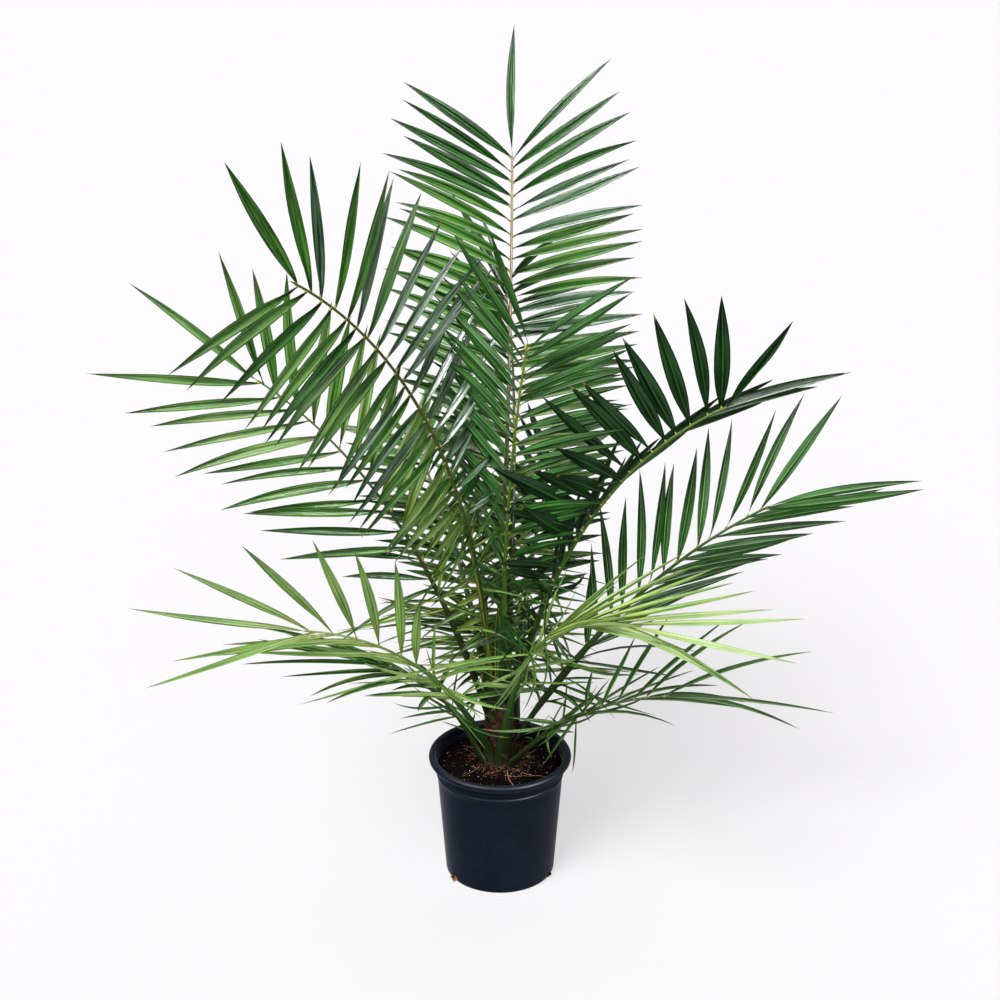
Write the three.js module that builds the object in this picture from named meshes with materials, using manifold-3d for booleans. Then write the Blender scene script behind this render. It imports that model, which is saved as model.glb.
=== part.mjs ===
// A young date palm in a nursery pot: a short fibrous trunk, feather-shaped fronds rising and
// arching out of it on all sides, and two unopened spear leaves in the middle.
//
// Millimetres, +Z up. The origin is the centre of the pot's flat underside.
// Azimuths are in degrees about +Z: 0 is +X, 90 is +Y, and the front of the plant faces -Y.

import * as THREE from "three";
import { mergeVertices } from "three/addons/utils/BufferGeometryUtils.js";
import Module from "manifold-3d";

const wasm = await Module();
wasm.setup();

// ---------------------------------------------------------------- driving dimensions

const GAP = 0.3; // clearance between neighbouring solids

const POT_HEIGHT = 246;
const POT_BASE_RADIUS = 103;
const POT_TAPER = 0.075; // growth of the outer radius for each millimetre of height
const POT_WALL = 3;
const POT_FLOOR = 4;
const POT_CHAMFER = 3; // at the edge of the underside
const LIP_RADIUS = 134;
const LIP_HEIGHT = 15;
const RIDGE_HEIGHT = 207; // a moulded ring round the pot, under the collar
const RIDGE_DEPTH = 1.6; // how far that ring stands proud
const DRAIN_COUNT = 3;
const DRAIN_FIRST_AZIMUTH = 94;
const DRAIN_WIDTH = 13;
const DRAIN_HEIGHT = 9;
const POT_SEGMENTS = 48;

const SOIL_EDGE_HEIGHT = 220;
const SOIL_MOUND_HEIGHT = 230;
const SOIL_MOUND_RADIUS = 46;

const TRUNK_FOOT_RADIUS = 37;
const TRUNK_NECK_RADIUS = 30;
const TRUNK_TOP = 374;
const TRUNK_SEGMENTS = 18;

const RIB_STEPS = 12; // straight steps that a frond's curve is made of
const RIB_TIP_RADIUS = 1.9;
const RIB_TAPER = 2.2; // above 1, so a stalk thins fastest near its root
const ARCH_POWER = 1.6; // above 1, so a frond bends most towards its tip

const SINK = 7; // how far a leaflet's root runs inside the rib
const LEAFLET_WIDEST = 0.38; // share of a leaflet's length where it is widest
const LEAFLET_HALF_WIDTH = 10;
const LEAFLET_HALF_THICKNESS = 1.5;
const LEAST_THICKNESS = 0.013; // share of its length that a leaflet is thick, at the least
const FIRST_LENGTH = 0.62; // length of the lowest leaflets, against the full ones
const LENGTHENING = 1.5; // how fast leaflets reach their full length, from the lowest upwards
const TIP_GAIN = 0.16; // the last leaflets are longer than the rest by this share
const TIP_GAIN_LENGTH = 0.05; // share of the rib over which that gain fades
const END_GAIN = 1.09; // length of the leaflet that ends a frond, against the others
const FAN_LENGTH = 0.1; // share of the rib over which leaflets open from the tip angle to their spread

// How much leaflets differ from the rule: share of their spacing, share of their length, and degrees.
const UNEVEN = { place: 0.18, length: 0.06, angle: 4, lift: 6 };

// Short narrow leaflets low on each stalk, which lengthen and widen up the stalk.
const SPINE = { pairs: 4, start: 0.3, shortest: 0.18, longest: 0.58, narrowest: 0.28, widest: 0.48 };
const SPINE_STANCE = { angle: 52, lift: 24, uneven: 14 };

// One row for each frond, from the youngest, in the middle, outwards.
// seat, out, height: azimuth, distance from the trunk's axis and height of the stalk's root
// heading, sweep: azimuth that the rib sets out on, and how far it has turned at its tip
// rise, arch: angle of the rib above level at its root, and how far it has bent down at its tip
// roll, twist: turn of the blade about the rib at its root, and how much more it has at its tip
// lift: angle that both rows of leaflets are folded up from the blade
// bare: share of the rib that is stalk; stout: radius of the stalk at its root
// slim: width of the leaflets, against the widest
// spread, tips: angles of the lower and of the last leaflets to the rib, on side 1 and on side -1
// end: angle of the leaflet that ends the frond, towards side 1, for fronds that have one
const FRONDS = [
  {
    name: "frond_top", seat: 103, out: 11, height: 366, heading: 80, sweep: 10, rise: 78, arch: 21,
    length: 1008, roll: 41, twist: -46, lift: 3, leaflet: 246, droop: 0.06, spread: [67, 77],
    bare: 0.4, pairs: 25, slim: 1.1, stout: 8, tips: [50, 38], end: -1,
  },
  {
    name: "frond_front", seat: 277, out: 14, height: 362, heading: 289, sweep: 14, rise: 87, arch: 12,
    length: 730, roll: -84, twist: 46, lift: 12, leaflet: 216, droop: 0.08, spread: [60, 56],
    bare: 0.36, pairs: 20, slim: 0.9, stout: 8, tips: [34, 34], end: -24,
  },
  {
    name: "frond_upper_left", seat: 215, out: 19, height: 350, heading: 213, sweep: 10, rise: 86, arch: 54,
    length: 1020, roll: -66, twist: -16, lift: 10, leaflet: 262, droop: 0.08, spread: [80, 80],
    bare: 0.38, pairs: 21, slim: 1.2, stout: 8.5, tips: [34, 16],
  },
  {
    name: "frond_right", seat: 330, out: 22, height: 342, heading: 349, sweep: -4, rise: 77, arch: 47,
    length: 755, roll: 13, twist: -60, lift: 24, leaflet: 232, droop: 0.02, spread: [72, 79],
    bare: 0.36, pairs: 17, slim: 1.35, stout: 8.5, tips: [40, 54], end: -38,
  },
  {
    name: "frond_left", seat: 172, out: 25, height: 334, heading: 178, sweep: 14, rise: 72, arch: 34,
    length: 790, roll: -93, twist: -15, lift: -3, leaflet: 264, droop: 0.07, spread: [64, 52],
    bare: 0.34, pairs: 14, slim: 1.05, stout: 9, tips: [28, 36], end: -8,
  },
  {
    name: "frond_back", seat: 62, out: 20, height: 346, heading: 78, sweep: 20, rise: 76, arch: 52,
    length: 850, roll: 12, twist: 22, lift: 20, leaflet: 220, droop: 0.08, spread: [74, 74],
    bare: 0.36, pairs: 20, slim: 0.9, stout: 8.5, tips: [34, 34], end: 6,
  },
  {
    name: "frond_back_left", seat: 132, out: 25, height: 332, heading: 120, sweep: -8, rise: 69, arch: 56,
    length: 580, roll: -10, twist: -14, lift: 22, leaflet: 155, droop: 0.08, spread: [68, 68],
    bare: 0.34, pairs: 16, slim: 0.85, stout: 9, tips: [34, 34], end: 5,
  },
  {
    name: "frond_back_right", seat: 26, out: 27, height: 322, heading: 70, sweep: 6, rise: 74, arch: 46,
    length: 500, roll: 16, twist: 10, lift: 22, leaflet: 140, droop: 0.08, spread: [68, 68],
    bare: 0.34, pairs: 13, slim: 0.85, stout: 9, tips: [34, 34], end: -6,
  },
  {
    name: "frond_far_right", seat: 352, out: 33, height: 286, heading: 352, sweep: -9, rise: 58, arch: 25,
    length: 680, roll: -88, twist: -7, lift: 52, leaflet: 246, droop: 0.02, spread: [52, 65],
    bare: 0.3, pairs: 13, slim: 1, stout: 9.5, tips: [26, 36], end: 15,
  },
  {
    name: "frond_low_right", seat: 283, out: 33, height: 282, heading: 296, sweep: 30, rise: 77, arch: 75,
    length: 500, roll: -4, twist: 39, lift: 3, leaflet: 284, droop: 0.03, spread: [20, 20],
    bare: 0.56, pairs: 9, slim: 0.68, stout: 10, tips: [12, 12], end: 3,
  },
  {
    name: "frond_low_left", seat: 218, out: 34, height: 276, heading: 226, sweep: -28, rise: 60, arch: 49,
    length: 505, roll: 12, twist: 58, lift: 6, leaflet: 284, droop: 0.02, spread: [46, 40],
    bare: 0.48, pairs: 6, slim: 0.95, stout: 10, tips: [22, 28], end: 8,
  },
  {
    name: "frond_low_back", seat: 96, out: 34, height: 276, heading: 102, sweep: -12, rise: 56, arch: 58,
    length: 560, roll: -8, twist: 10, lift: 18, leaflet: 215, droop: 0.08, spread: [60, 60],
    bare: 0.38, pairs: 11, slim: 0.75, stout: 10, tips: [34, 34], end: 4,
  },
  {
    name: "frond_lowest_left", seat: 192, out: 38, height: 246, heading: 205, sweep: -42, rise: 67, arch: 52,
    length: 270, roll: 60, twist: -28, lift: -32, leaflet: 270, droop: 0.13, spread: [60, 14],
    bare: 0.6, pairs: 5, slim: 0.8, stout: 11, tips: [20, 14], end: 4,
  },
  {
    name: "frond_lowest_right", seat: 318, out: 38, height: 246, heading: 320, sweep: 42, rise: 50, arch: 51,
    length: 360, roll: 20, twist: -86, lift: 24, leaflet: 272, droop: 0.14, spread: [58, 50],
    bare: 0.52, pairs: 6, slim: 0.65, stout: 11, tips: [14, 14], end: -2,
  },
];

// Unopened leaves, still folded into a rod: they stand upright in the crown's middle.
const SPEARS = [
  { name: "spear_tall", seat: 185, out: 6, height: 372, heading: 176, rise: 83, length: 360, radius: 5.5 },
  { name: "spear_short", seat: 350, out: 6, height: 372, heading: 12, rise: 81, length: 260, radius: 5 },
];

// ---------------------------------------------------------------- finishes

function finish(color, roughness) {
  return new THREE.MeshStandardMaterial({ color, roughness, metalness: 0 });
}

const FINISH = {
  pot: finish("#1b2432", 0.42),
  soil: finish("#2c1d14", 0.95),
  trunk: finish("#4a2f1c", 0.9),
  frond: finish("#31592f", 0.38),
  lowFrond: finish("#5f8f3c", 0.42),
  spear: finish("#6f9a48", 0.45),
};

// ---------------------------------------------------------------- small helpers

const degrees = THREE.MathUtils.degToRad;

// Seeded random numbers from 0 to 1, the same on every run.
function randomFrom(seed) {
  let state = seed >>> 0;
  return () => {
    state = (state + 0x6d2b79f5) >>> 0;
    let t = Math.imul(state ^ (state >>> 15), 1 | state);
    t = (t + Math.imul(t ^ (t >>> 7), 61 | t)) ^ t;
    return ((t ^ (t >>> 14)) >>> 0) / 4294967296;
  };
}

// A number from -size to size.
function spreadOf(random, size) {
  return (random() * 2 - 1) * size;
}

function welded(geometry) {
  geometry.deleteAttribute("normal");
  geometry.deleteAttribute("uv");
  return mergeVertices(geometry, 1e-4);
}

function solidFrom(geometry) {
  const closed = welded(geometry);
  return new wasm.Manifold(
    new wasm.Mesh({
      numProp: 3,
      vertProperties: new Float32Array(closed.attributes.position.array),
      triVerts: new Uint32Array(closed.index.array),
    }),
  );
}

function geometryFrom(solid) {
  const mesh = solid.getMesh();
  const geometry = new THREE.BufferGeometry();
  geometry.setAttribute("position", new THREE.BufferAttribute(mesh.vertProperties, 3));
  geometry.setIndex(new THREE.BufferAttribute(mesh.triVerts, 1));
  return geometry;
}

// A turned piece: rows of [radius, height] become a lathe about +Z.
function turned(rows, segments) {
  const profile = rows.map(([radius, height]) => new THREE.Vector2(radius, height));
  return new THREE.LatheGeometry(profile, segments).rotateX(Math.PI / 2);
}

function node(name, geometry, material) {
  const mesh = new THREE.Mesh(geometry, material);
  mesh.name = name;
  return mesh;
}

// ---------------------------------------------------------------- pot, soil and trunk

function potOuterRadius(height) {
  return POT_BASE_RADIUS + POT_TAPER * height;
}

function potInnerRadius(height) {
  return potOuterRadius(height) - POT_WALL;
}

// The wall with its ridge, collar and rolled lip, turned about the axis, less the drain notches.
function makePot() {
  const lipFoot = POT_HEIGHT - LIP_HEIGHT;
  const collarRadius = potOuterRadius(RIDGE_HEIGHT);
  const lipInner = potInnerRadius(lipFoot) + 3;
  const rows = [
    [0, 0],
    [POT_BASE_RADIUS - POT_CHAMFER, 0],
    [potOuterRadius(POT_CHAMFER), POT_CHAMFER],
    [potOuterRadius(RIDGE_HEIGHT - 3), RIDGE_HEIGHT - 3],
    [collarRadius + RIDGE_DEPTH, RIDGE_HEIGHT - 1],
    [collarRadius + RIDGE_DEPTH, RIDGE_HEIGHT + 2],
    [collarRadius, RIDGE_HEIGHT + 4],
    [collarRadius + 1, lipFoot],
    [LIP_RADIUS - 4, lipFoot + 1],
    [LIP_RADIUS - 0.5, lipFoot + 5],
    [LIP_RADIUS, lipFoot + 9],
    [LIP_RADIUS - 2.5, POT_HEIGHT - 2],
    [LIP_RADIUS - 6, POT_HEIGHT],
    [LIP_RADIUS - 9.5, POT_HEIGHT - 1.5],
    [lipInner, lipFoot],
    [potInnerRadius(RIDGE_HEIGHT), RIDGE_HEIGHT],
    [potInnerRadius(POT_FLOOR), POT_FLOOR],
    [0, POT_FLOOR],
  ];
  let pot = solidFrom(turned(rows, POT_SEGMENTS));
  for (let i = 0; i < DRAIN_COUNT; i++) {
    const azimuth = degrees(DRAIN_FIRST_AZIMUTH + (360 / DRAIN_COUNT) * i);
    const notch = new THREE.BoxGeometry(4 * POT_WALL, DRAIN_WIDTH, 2 * DRAIN_HEIGHT);
    notch.translate(POT_BASE_RADIUS + POT_WALL, 0, 0);
    notch.rotateZ(azimuth);
    pot = pot.subtract(solidFrom(notch));
  }
  return geometryFrom(pot);
}

// Potting mix up to a hand's breadth of wall under the lip, mounded where the trunk stands.
function soilRows(grow) {
  return [
    [0, POT_FLOOR + GAP],
    [potInnerRadius(POT_FLOOR) - 2 * GAP, POT_FLOOR + GAP],
    [potInnerRadius(RIDGE_HEIGHT) - 2 * GAP, RIDGE_HEIGHT],
    [potInnerRadius(RIDGE_HEIGHT) - GAP, SOIL_EDGE_HEIGHT + grow],
    [0.5 * (potInnerRadius(RIDGE_HEIGHT) + SOIL_MOUND_RADIUS), SOIL_EDGE_HEIGHT + 2 + grow],
    [SOIL_MOUND_RADIUS, SOIL_MOUND_HEIGHT + grow],
    [0, SOIL_MOUND_HEIGHT + grow],
  ];
}

// The stump: a flat cut that stands on the mound, a flared foot, a waist and a rounded crown.
function trunkRows(grow) {
  const foot = SOIL_MOUND_HEIGHT + GAP - grow;
  return [
    [0, foot],
    [TRUNK_FOOT_RADIUS + grow, foot],
    [TRUNK_FOOT_RADIUS - 2 + grow, SOIL_MOUND_HEIGHT + 9],
    [TRUNK_NECK_RADIUS + 2 + grow, SOIL_MOUND_HEIGHT + 28],
    [TRUNK_NECK_RADIUS + grow, SOIL_MOUND_HEIGHT + 62],
    [TRUNK_NECK_RADIUS - 2 + grow, TRUNK_TOP - 48],
    [TRUNK_NECK_RADIUS - 6 + grow, TRUNK_TOP - 25 + grow],
    [TRUNK_NECK_RADIUS - 13 + grow, TRUNK_TOP - 9 + grow],
    [TRUNK_NECK_RADIUS - 22 + grow, TRUNK_TOP - 1 + grow],
    [0, TRUNK_TOP + grow],
  ];
}

const grownTrunk = solidFrom(turned(trunkRows(GAP), TRUNK_SEGMENTS));
const grownSoil = solidFrom(turned(soilRows(GAP), POT_SEGMENTS));

// ---------------------------------------------------------------- the curve of a rib

// Directions along a rib at share s of its length: along it, across the blade, and off its face.
function ribFrame(frond, s) {
  const elevation = degrees(frond.rise - frond.arch * s ** ARCH_POWER);
  const azimuth = degrees(frond.heading + frond.sweep * s);
  const roll = degrees(frond.roll + frond.twist * s);
  const level = new THREE.Vector3(Math.cos(azimuth), Math.sin(azimuth), 0);
  const up = new THREE.Vector3(0, 0, 1);
  const along = level.clone().multiplyScalar(Math.cos(elevation)).addScaledVector(up, Math.sin(elevation));
  const side = new THREE.Vector3(-level.y, level.x, 0);
  const face = new THREE.Vector3().crossVectors(along, side);
  return {
    along,
    across: side.clone().multiplyScalar(Math.cos(roll)).addScaledVector(face, Math.sin(roll)),
    off: face.clone().multiplyScalar(Math.cos(roll)).addScaledVector(side, -Math.sin(roll)),
  };
}

// The rib's own curve: the directions summed in equal steps from the seat on the trunk.
class Rib extends THREE.Curve {
  constructor(frond) {
    super();
    this.frond = frond;
    const seat = degrees(frond.seat);
    const point = new THREE.Vector3(frond.out * Math.cos(seat), frond.out * Math.sin(seat), frond.height);
    this.points = [point.clone()];
    for (let i = 0; i < RIB_STEPS; i++) {
      const { along } = ribFrame(frond, (i + 0.5) / RIB_STEPS);
      point.addScaledVector(along, frond.length / RIB_STEPS);
      this.points.push(point.clone());
    }
  }

  // Every step has the same length, so shares of the length need no correction.
  getUtoTmapping(u) {
    return u;
  }

  getPoint(t, target = new THREE.Vector3()) {
    const place = Math.min(Math.max(t, 0), 1) * RIB_STEPS;
    const i = Math.min(Math.floor(place), RIB_STEPS - 1);
    return target.lerpVectors(this.points[i], this.points[i + 1], place - i);
  }
}

// A stalk is stout at its root and thins quickly, then slowly, to its tip.
function ribRadius(frond, s) {
  return RIB_TIP_RADIUS + (frond.stout - RIB_TIP_RADIUS) * (1 - s) ** RIB_TAPER;
}

// A three-sided tube along a curve, with its own radius at each section.
function taperedTube(curve, sections, radiusAt) {
  const triangle = new THREE.Shape();
  for (let i = 0; i < 3; i++) {
    const angle = degrees(120 * i + 30);
    const corner = [Math.cos(angle), Math.sin(angle)];
    if (i === 0) {
      triangle.moveTo(...corner);
    } else {
      triangle.lineTo(...corner);
    }
  }
  const settings = { steps: sections, bevelEnabled: false, extrudePath: curve };
  const tube = new THREE.ExtrudeGeometry(triangle, settings);
  const centres = curve.getSpacedPoints(sections);
  const position = tube.attributes.position;
  const vertex = new THREE.Vector3();
  for (let i = 0; i < position.count; i++) {
    vertex.fromBufferAttribute(position, i);
    let nearest = 0;
    for (let k = 1; k < centres.length; k++) {
      if (vertex.distanceTo(centres[k]) < vertex.distanceTo(centres[nearest])) nearest = k;
    }
    vertex.sub(centres[nearest]).multiplyScalar(radiusAt(nearest / sections)).add(centres[nearest]);
    position.setXYZ(i, vertex.x, vertex.y, vertex.z);
  }
  return tube;
}

// ---------------------------------------------------------------- leaflets

const OCTAHEDRON = welded(new THREE.OctahedronGeometry(1));

// A leaflet is a flattened double pyramid of eight faces: root, widest place and tip.
function leafletSolid(leaf, grow) {
  const geometry = OCTAHEDRON.clone();
  const position = geometry.attributes.position;
  const root = leaf.root.clone().addScaledVector(leaf.rib, -SINK);
  const tip = leaf.root.clone().addScaledVector(leaf.along, leaf.length + grow);
  tip.z -= leaf.droop * leaf.length;
  const middle = leaf.root.clone().addScaledVector(leaf.along, leaf.length * LEAFLET_WIDEST);
  middle.z -= leaf.droop * leaf.length * LEAFLET_WIDEST ** 2;
  for (let i = 0; i < position.count; i++) {
    const end = Math.round(position.getX(i));
    const centre = end < 0 ? root : end > 0 ? tip : middle;
    const point = centre.clone();
    if (end === 0) {
      point.addScaledVector(leaf.across, position.getY(i) * (leaf.halfWidth + grow));
      point.addScaledVector(leaf.off, position.getZ(i) * (leaf.halfThickness + grow));
    }
    position.setXYZ(i, point.x, point.y, point.z);
  }
  return solidFrom(geometry);
}

// Angle of the leaflets to the rib: they close up towards the frond's tip.
function leafletAngle(frond, s, side) {
  const row = side > 0 ? 0 : 1;
  const closed = Math.exp((s - 1) / FAN_LENGTH);
  return frond.spread[row] + (frond.tips[row] - frond.spread[row]) * closed;
}

// One leaflet at share s of the rib, on side 1 or -1 of the blade.
function leafletAt(frond, rib, s, side, size) {
  const frame = ribFrame(frond, s);
  const angle = degrees(size.angle);
  const lift = degrees(size.lift);
  const outward = frame.across.clone().multiplyScalar(side * Math.cos(lift));
  outward.addScaledVector(frame.off, Math.sin(lift));
  const along = frame.along.clone().multiplyScalar(Math.cos(angle)).addScaledVector(outward, Math.sin(angle));
  const off = frame.off.clone().addScaledVector(along, -frame.off.dot(along)).normalize();
  return {
    root: rib.getPoint(s),
    rib: frame.along,
    along: along.normalize(),
    off,
    across: new THREE.Vector3().crossVectors(off, along),
    length: size.length,
    droop: frond.droop,
    halfWidth: size.halfWidth,
    halfThickness: Math.max(LEAFLET_HALF_THICKNESS * size.width, 0.5 * LEAST_THICKNESS * size.length),
  };
}

// Every leaflet that a frond's rule asks for, each as a function of a turn given to it.
function leafletPlan(frond, rib, seed) {
  const random = randomFrom(seed);
  const plan = [];
  const blade = 1 - frond.bare;
  const spacing = blade / frond.pairs;
  const add = (s, side, angle, length, width, lift) => {
    plan.push((turn, tilt, shorten) =>
      leafletAt(frond, rib, s, side, {
        angle: angle + tilt,
        lift: lift + turn,
        length: length * shorten,
        width,
        halfWidth: LEAFLET_HALF_WIDTH * width * frond.slim,
      }),
    );
  };
  for (let i = 0; i < frond.pairs; i++) {
    for (const side of [1, -1]) {
      const s = frond.bare + spacing * (i + 0.5 + spreadOf(random, UNEVEN.place));
      const grown = Math.min(1, FIRST_LENGTH + (LENGTHENING * (s - frond.bare)) / blade);
      const gain = 1 + TIP_GAIN * Math.exp((s - 1) / TIP_GAIN_LENGTH);
      const length = frond.leaflet * grown * gain * (1 + spreadOf(random, UNEVEN.length));
      const angle = leafletAngle(frond, s, side) + spreadOf(random, UNEVEN.angle);
      const lift = frond.lift + spreadOf(random, UNEVEN.lift);
      add(s, side, angle, length, Math.min(1, 0.35 + 0.65 * grown), lift);
    }
  }
  if (frond.end) add(1, 1, frond.end, frond.leaflet * END_GAIN, 0.9, 0);
  const stalkStart = SPINE.start * frond.bare;
  for (let i = 0; i < SPINE.pairs; i++) {
    for (const side of [1, -1]) {
      const share = (i + 0.5 + spreadOf(random, 0.2)) / SPINE.pairs;
      const s = stalkStart + (frond.bare - stalkStart) * share;
      const longest = THREE.MathUtils.lerp(SPINE.shortest, SPINE.longest, share);
      const length = frond.leaflet * longest * (1 + spreadOf(random, 0.1));
      const width = THREE.MathUtils.lerp(SPINE.narrowest, SPINE.widest, share);
      const angle = SPINE_STANCE.angle + spreadOf(random, SPINE_STANCE.uneven);
      const lift = SPINE_STANCE.lift + spreadOf(random, SPINE_STANCE.uneven);
      add(s, side, angle, length, width, lift);
    }
  }
  return plan;
}

// ---------------------------------------------------------------- keeping fronds apart

function boxOf(solid) {
  const { min, max } = solid.boundingBox();
  return new THREE.Box3(new THREE.Vector3(...min), new THREE.Vector3(...max));
}

function touches(solid, box, obstacles) {
  return obstacles.some((other) => other.box.intersectsBox(box) && !other.solid.intersect(solid).isEmpty());
}

// The turns that a leaflet may take to pass its neighbours, from none to the most.
const DODGES = [];
for (const shorten of [1, 0.8, 0.55]) {
  for (const tilt of [0, -7, 7]) {
    for (const turn of [0, 8, -8, 17, -17]) {
      DODGES.push([turn, tilt, shorten]);
    }
  }
}

// Joins each frond's leaflets to its rib. A leaflet that still meets another piece is left out.
function makeFronds() {
  const ribs = FRONDS.map((frond) => new Rib(frond));
  const spears = SPEARS.map(spearTube);
  const stalks = FRONDS.map((frond, i) => stalkSolid(frond, ribs[i], 0));
  const obstacles = FRONDS.map((frond, i) => ({ owner: i, solid: stalkSolid(frond, ribs[i], GAP) }));
  spears.forEach((solid) => obstacles.push({ owner: -1, solid }));
  [grownTrunk, grownSoil].forEach((solid) => obstacles.push({ owner: -1, solid }));
  obstacles.forEach((piece) => (piece.box = boxOf(piece.solid)));
  const meshes = [];
  FRONDS.forEach((frond, i) => {
    const others = obstacles.filter((piece) => piece.owner !== i);
    const mine = [];
    for (const place of leafletPlan(frond, ribs[i], 1000 + 17 * i)) {
      for (const dodge of DODGES) {
        const leaf = place(...dodge);
        const guard = leafletSolid(leaf, GAP);
        if (touches(guard, boxOf(guard), others)) continue;
        mine.push(leafletSolid(leaf, 0));
        break;
      }
    }
    mine.forEach((solid) => obstacles.push({ owner: i, solid, box: boxOf(solid) }));
    const joined = mine.reduce((whole, leaf) => whole.add(leaf), stalks[i]);
    const material = frond.name.includes("low") ? FINISH.lowFrond : FINISH.frond;
    meshes.push(node(frond.name, geometryFrom(joined), material));
  });
  SPEARS.forEach((spear, i) => meshes.push(node(spear.name, geometryFrom(spears[i]), FINISH.spear)));
  return meshes;
}

// A frond's stalk and rib, cut clear of the trunk and the soil.
function stalkSolid(frond, rib, grow) {
  const tube = taperedTube(rib, RIB_STEPS, (s) => ribRadius(frond, s) + grow);
  return solidFrom(tube).subtract(grownTrunk).subtract(grownSoil);
}

// A spear is a slim rod, pointed at its top.
function spearTube(spear) {
  const rod = { ...spear, sweep: 0, arch: 4, roll: 0, twist: 0 };
  const tube = taperedTube(new Rib(rod), RIB_STEPS / 2, (s) => spear.radius * (1.05 - s) ** 0.45);
  return solidFrom(tube).subtract(grownTrunk);
}

// ---------------------------------------------------------------- the whole plant

const palm = new THREE.Group();
palm.add(node("pot", makePot(), FINISH.pot));
palm.add(node("soil", turned(soilRows(0), POT_SEGMENTS), FINISH.soil));
palm.add(node("trunk", turned(trunkRows(0), TRUNK_SEGMENTS), FINISH.trunk));
palm.add(...makeFronds());

export default palm;
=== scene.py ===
# %% [markdown]
# # A young date palm in a nursery pot
#
# The plant is about a metre and a half tall: a dark plastic nursery pot, potting mix, a short
# fibrous stump, fourteen feather-shaped fronds and two leaves that haven't opened yet. The packed
# model holds every part's place and reach. This script dresses that frame: each frond gets thin
# folded leaflets, and the pot, the mix and the stump get their own surface. The scene is in
# metres, with +Z up, and the origin is the middle of the pot's underside. The plant's own sizes
# are written in mm and degrees, and become metres when a mesh is made. The camera's place, the
# floor and the depths of reliefs are in metres.

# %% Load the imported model
import math

import bpy
import numpy as np
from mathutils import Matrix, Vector, kdtree, noise


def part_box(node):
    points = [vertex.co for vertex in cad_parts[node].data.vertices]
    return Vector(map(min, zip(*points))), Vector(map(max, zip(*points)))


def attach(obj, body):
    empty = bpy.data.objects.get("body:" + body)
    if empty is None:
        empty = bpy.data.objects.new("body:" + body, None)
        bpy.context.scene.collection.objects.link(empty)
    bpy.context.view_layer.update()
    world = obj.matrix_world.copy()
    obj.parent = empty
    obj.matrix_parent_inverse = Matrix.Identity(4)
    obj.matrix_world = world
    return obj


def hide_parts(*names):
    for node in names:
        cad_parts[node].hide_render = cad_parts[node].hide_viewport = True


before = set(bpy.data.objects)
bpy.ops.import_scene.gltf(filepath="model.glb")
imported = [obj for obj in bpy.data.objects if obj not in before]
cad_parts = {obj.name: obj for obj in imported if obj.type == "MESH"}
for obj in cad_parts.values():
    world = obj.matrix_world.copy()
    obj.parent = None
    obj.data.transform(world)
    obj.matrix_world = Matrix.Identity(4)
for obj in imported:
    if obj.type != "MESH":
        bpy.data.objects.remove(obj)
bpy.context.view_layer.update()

# %% [markdown]
# ## Camera
#
# A studio picture of a tall plant is taken from a little above the pot and some way off, so that
# the soil shows and the trunk stays upright. A 72 mm lens on a 36 mm sensor, tipped down by about
# 22 degrees, gives that view. Making the camera first fixes how large each detail will appear.

# %% Place the camera
CAMERA_PLACE = (0.0, -3.305, 2.11)
CAMERA_TURN = math.radians(67.75)
LENS_LENGTH = 72
SENSOR_WIDTH = 36

lens = bpy.data.cameras.new("studio_camera")
lens.lens = LENS_LENGTH
lens.sensor_width = SENSOR_WIDTH
camera = bpy.data.objects.new("studio_camera", lens)
camera.location = CAMERA_PLACE
camera.rotation_euler = (CAMERA_TURN, 0, 0)
bpy.context.collection.objects.link(camera)
bpy.context.scene.camera = camera
bpy.context.scene.view_settings.view_transform = "Standard"
bpy.context.scene.view_settings.look = "Medium High Contrast"
print("camera", CAMERA_PLACE)

# %% [markdown]
# ## Helpers for meshes
#
# Every piece here is a list of points and faces worked out with numpy, because a palm is made of
# hundreds of alike but not equal parts, and arrays make them quickly. One class gathers such
# lists and turns them into an object that rides on the frame, with the two flat coordinates that
# the materials use: across the part, and along it.

# %% A mesh object from arrays
MM = 0.001
UP = np.array([0.0, 0.0, 1.0])


class Parts:
    """Gathers patches of points and faces, then joins them into one mesh."""

    def __init__(self):
        self.points, self.faces, self.coords, self.finishes = [], [], [], []
        self.count = 0

    def add(self, points, faces, coords, finish):
        """points (n, 3) in mm, faces (m, 3 or 4), coords (n, 2), finish a number or (m,)."""
        self.points.append(np.asarray(points, float).reshape(-1, 3))
        faces = np.asarray(faces, int)
        self.faces.extend((faces + self.count).tolist())
        self.coords.append(np.asarray(coords, float).reshape(-1, 2))
        self.finishes.append(np.broadcast_to(finish, len(faces)))
        self.count += len(self.points[-1])

    def piece(self, name, materials, node, slot):
        """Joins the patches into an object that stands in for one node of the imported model."""
        points = np.concatenate(self.points) * MM
        mesh = bpy.data.meshes.new(name)
        mesh.from_pydata(points.tolist(), [], self.faces)
        finishes = np.concatenate(self.finishes).astype(np.int32)
        mesh.polygons.foreach_set("material_index", finishes)
        mesh.polygons.foreach_set("use_smooth", np.ones(len(self.faces), bool))
        corners = np.zeros(len(mesh.loops), np.int32)
        mesh.loops.foreach_get("vertex_index", corners)
        flat = np.concatenate(self.coords)[corners].ravel().astype(np.float32)
        mesh.uv_layers.new(name="part").data.foreach_set("uv", flat)
        for material in materials:
            mesh.materials.append(material)
        mesh.update()
        made = bpy.data.objects.new(name, mesh)
        bpy.context.collection.objects.link(made)
        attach(made, "root")
        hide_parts(node)
        return made


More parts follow.
